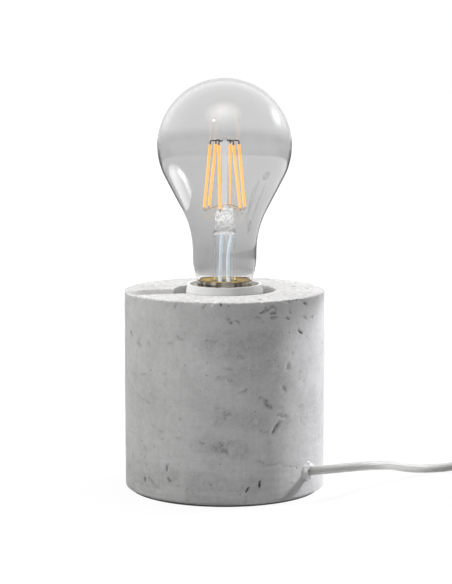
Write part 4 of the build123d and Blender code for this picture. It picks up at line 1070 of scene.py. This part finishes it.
# %% [markdown]
# What the glass mirrors is set apart from what lights the lamp: a hazy ceiling, a dark room at
# eye level, the pale table, and cards that are seen only in reflections. Each card stands for one
# bright patch on the globe: the haze on its crown, the streak low on the left and its halo, the
# window on the right and a small spot. A plain screen beside the base hides what lies behind it.

# %% Cards that show only in reflections


def stage_sheet(name, corners, hidden_from):
    """A four-cornered sheet of the stage, left out for the kinds of light path that are named."""
    mesh = bpy.data.meshes.new(name)
    mesh.from_pydata(np.array(corners).tolist(), [], [(0, 1, 2, 3)])
    sheet = bpy.data.objects.new(name, mesh)
    bpy.context.scene.collection.objects.link(sheet)
    for kind in hidden_from:
        setattr(sheet, "visible_" + kind, False)
    return sheet


def card(name, centre, half_x, half_y, strength, colour, soft):
    """A glowing parallelogram: strength (1 - d)^soft, d the way from its middle, 1 at its edge.

    It adds its glow to what lies behind it. With soft = 0 it is even and hides what lies behind.
    """
    signs = np.array([(-1, -1), (1, -1), (1, 1), (-1, 1)])
    corners = np.array(centre) + signs @ np.array([half_x, half_y])
    sheet = stage_sheet(name, corners, ("camera", "diffuse", "shadow", "transmission"))
    layer = sheet.data.uv_layers.new(name="card")
    layer.data.foreach_set("uv", signs.ravel().astype(np.float32))
    pen, place_on_card = start(name, "UV")
    way = pen.node("ShaderNodeVectorMath", {"operation": "LENGTH"}, {0: place_on_card}, "Value")
    glow = pen.math("POWER", pen.math("MAXIMUM", 1.0 - way, 0.0), soft)
    light = pen.node("ShaderNodeEmission", {}, {"Color": (*colour, 1.0), "Strength": strength * glow})
    clear = pen.node("ShaderNodeBsdfTransparent", {}, {"Color": (float(soft > 0.0),) * 3 + (1.0,)})
    both = pen.node("ShaderNodeAddShader", {}, {0: clear, 1: light})
    pen.node("ShaderNodeOutputMaterial", {}, {"Surface": both})
    sheet.data.materials.append(bpy.data.materials[name])


card("card_over", (-0.05, -0.40, 0.95), (0.50, 0.0, 0.0), (0.0, 0.30, 0.24), 6.0, (1.0, 1.0, 0.98), 1.0)
card("card_left", (-0.255, 0.01, 0.002), (0.10, -0.01, 0.0), (0.0, 0.04, 0.0), 16.0, white, 1.0)
card("card_halo", (-0.30, 0.12, 0.003), (0.17, -0.02, 0.0), (0.0, 0.16, 0.0), 5.0, white, 0.6)
card("card_screen", (-0.052, 0.05, 0.058), (0.0, 0.14, 0.0), (0.0, 0.0, 0.058), 1.1, white, 0.0)
card("card_key", (1.20, 0.79, 0.80), (-0.29, 0.61, 0.0), (-0.11, -0.045, 0.40), 12.0,
     (0.90, 0.96, 1.0), 3.0)
card("card_spot", (-0.345, -0.79, 1.02), (0.03, 0.0, 0.0), (0.0, 0.02, 0.02), 60.0, white, 0.4)

# %% [markdown]
# A net hung beside the lamp thins the light from the right before it reaches the top face, as a
# photographer would do to keep a bright face from washing out.

# %% Net between the key light and the top face
rim_point = np.array([0.0453, 0.0211, 0.100])
to_key = np.array([1.3247, 0.6189, 0.70])
to_key = to_key / np.linalg.norm(to_key)
across_net = np.array([-to_key[1], to_key[0], 0.0]) / math.hypot(to_key[0], to_key[1])
up_net = np.cross(to_key, across_net)
hem = rim_point + 0.14 * to_key + 0.002 * up_net
net_half, net_rise = 0.15 * across_net, 0.2 * up_net
net_corners = (hem - net_half, hem + net_half, hem + net_half + net_rise, hem - net_half + net_rise)
net = stage_sheet("net", net_corners, ("camera", "diffuse", "glossy", "transmission"))
pen, _ = start("gauze")
thin = pen.node("ShaderNodeBsdfTransparent", {}, {"Color": (0.15, 0.15, 0.15, 1.0)})
pen.node("ShaderNodeOutputMaterial", {}, {"Surface": thin})
net.data.materials.append(bpy.data.materials["gauze"])
print("net hem", [round(float(v), 3) for v in hem])

# %% [markdown]
# The floor is white paper. The camera sees it at full white, with the shadow of the lamp mixed in.
# The lamp itself sees a greyer floor, so that it does not glow from below. Glass looks through to
# a floor that is darker close by, with soft dark panels further off, which draw the edges of the
# globe. Gloss mirrors a pale table that ends behind the lamp.

# %% Floor


def seen_by(pen, path):
    """1 for the kind of light path that is named, otherwise 0."""
    return pen.node("ShaderNodeLightPath", out=f"Is {path} Ray")


def soft_panels(pen, bearing):
    """Eight light panels round the lamp with dark gaps: a soft step on (1 + cos 8 bearing) / 2."""
    return (0.5 + 0.5 * pen.math("COSINE", 8.0 * bearing)).above(0.35, 0.30)


floor_corners = ((-3.0, -1.7, 0.0), (3.0, -1.7, 0.0), (3.0, 6.0, 0.0), (-3.0, 6.0, 0.0))
floor = stage_sheet("floor", floor_corners, ())
pen, place = start("paper")
by_camera, by_glass = seen_by(pen, "Camera"), seen_by(pen, "Transmission")
by_gloss = seen_by(pen, "Glossy") * (1.0 - by_glass)
reach = pen.node("ShaderNodeVectorMath", {"operation": "LENGTH"}, {0: place}, "Value")
away = reach.above(0.6, 0.4)
floor_x, floor_y, _ = parts_of(pen, place)
on_right = floor_x.above(0.0, 0.15)
bearing = pen.math("ARCTAN2", floor_y, floor_x)
stripes = (1.0 - soft_panels(pen, bearing)) * reach.above(0.5, 0.3) * (1.0 - reach.above(2.2, 0.6))
through = (0.42 + 0.58 * reach.above(1.1, 0.9)) * (1.0 - 0.65 * stripes)
behind = pen.math("SINE", bearing).above(0.88, 0.05) * reach.above(0.15, 0.05)
table = 0.10 + (0.8 + 0.95 * on_right) * (1.0 - reach.above(0.80, 0.12)) * (1.0 - 0.85 * behind)
bounce = tint(pen, on_right, (0.38,) * 3, (0.50,) * 3)
matt = pen.node("ShaderNodeBsdfDiffuse", {}, {"Color": bounce})
shown = by_camera * (1.08 + 0.30 * away) + by_glass * through + by_gloss * table
glow = pen.node("ShaderNodeEmission", {}, {"Strength": shown})
glowing = 0.86 * by_camera + by_glass + by_gloss
both = pen.node("ShaderNodeMixShader", {}, {0: glowing, 1: matt, 2: glow})
pen.node("ShaderNodeOutputMaterial", {}, {"Surface": both})
floor.data.materials.append(bpy.data.materials["paper"])
print("floor", floor.name)

# %% [markdown]
# The world is white for the camera and dim as a light. Glass looks through it at the same panels
# as on the floor, below the level of the eye. Gloss mirrors a dark room with a hazy ceiling and a
# pale backdrop behind the lamp.

# %% World
world = bpy.data.worlds.new("studio")
world.use_nodes = True
world.node_tree.nodes.clear()
pen = Wire(world.node_tree)
by_camera, by_glass, by_gloss = (seen_by(pen, path) for path in ("Camera", "Transmission", "Glossy"))
way_x, way_y, way_z = parts_of(pen, pen.node("ShaderNodeTexCoord", out="Generated"))
panels = soft_panels(pen, pen.math("ARCTAN2", way_y, way_x))
through = 1.0 - 0.6 * (1.0 - panels) * (1.0 - way_z.above(-0.06, 0.05))
ceiling = (way_z + 0.25 * way_y).above(0.28, 0.16)
backdrop = way_y.above(0.88, 0.06)
mirrored = 0.06 + ceiling * (2.8 - 1.9 * way_y.above(0.84, 0.1)) + 0.7 * backdrop * (1.0 - ceiling)
ambient = 0.12
room = ambient + by_gloss * (mirrored - ambient)
room = room + by_glass * (through - room)
room = room + by_camera * (1.0 - room)
back = pen.node("ShaderNodeBackground", {}, {"Color": (1.0, 1.0, 1.0, 1.0), "Strength": room})
pen.node("ShaderNodeOutputWorld", {}, {"Surface": back})
bpy.context.scene.world = world
print("world", world.name)
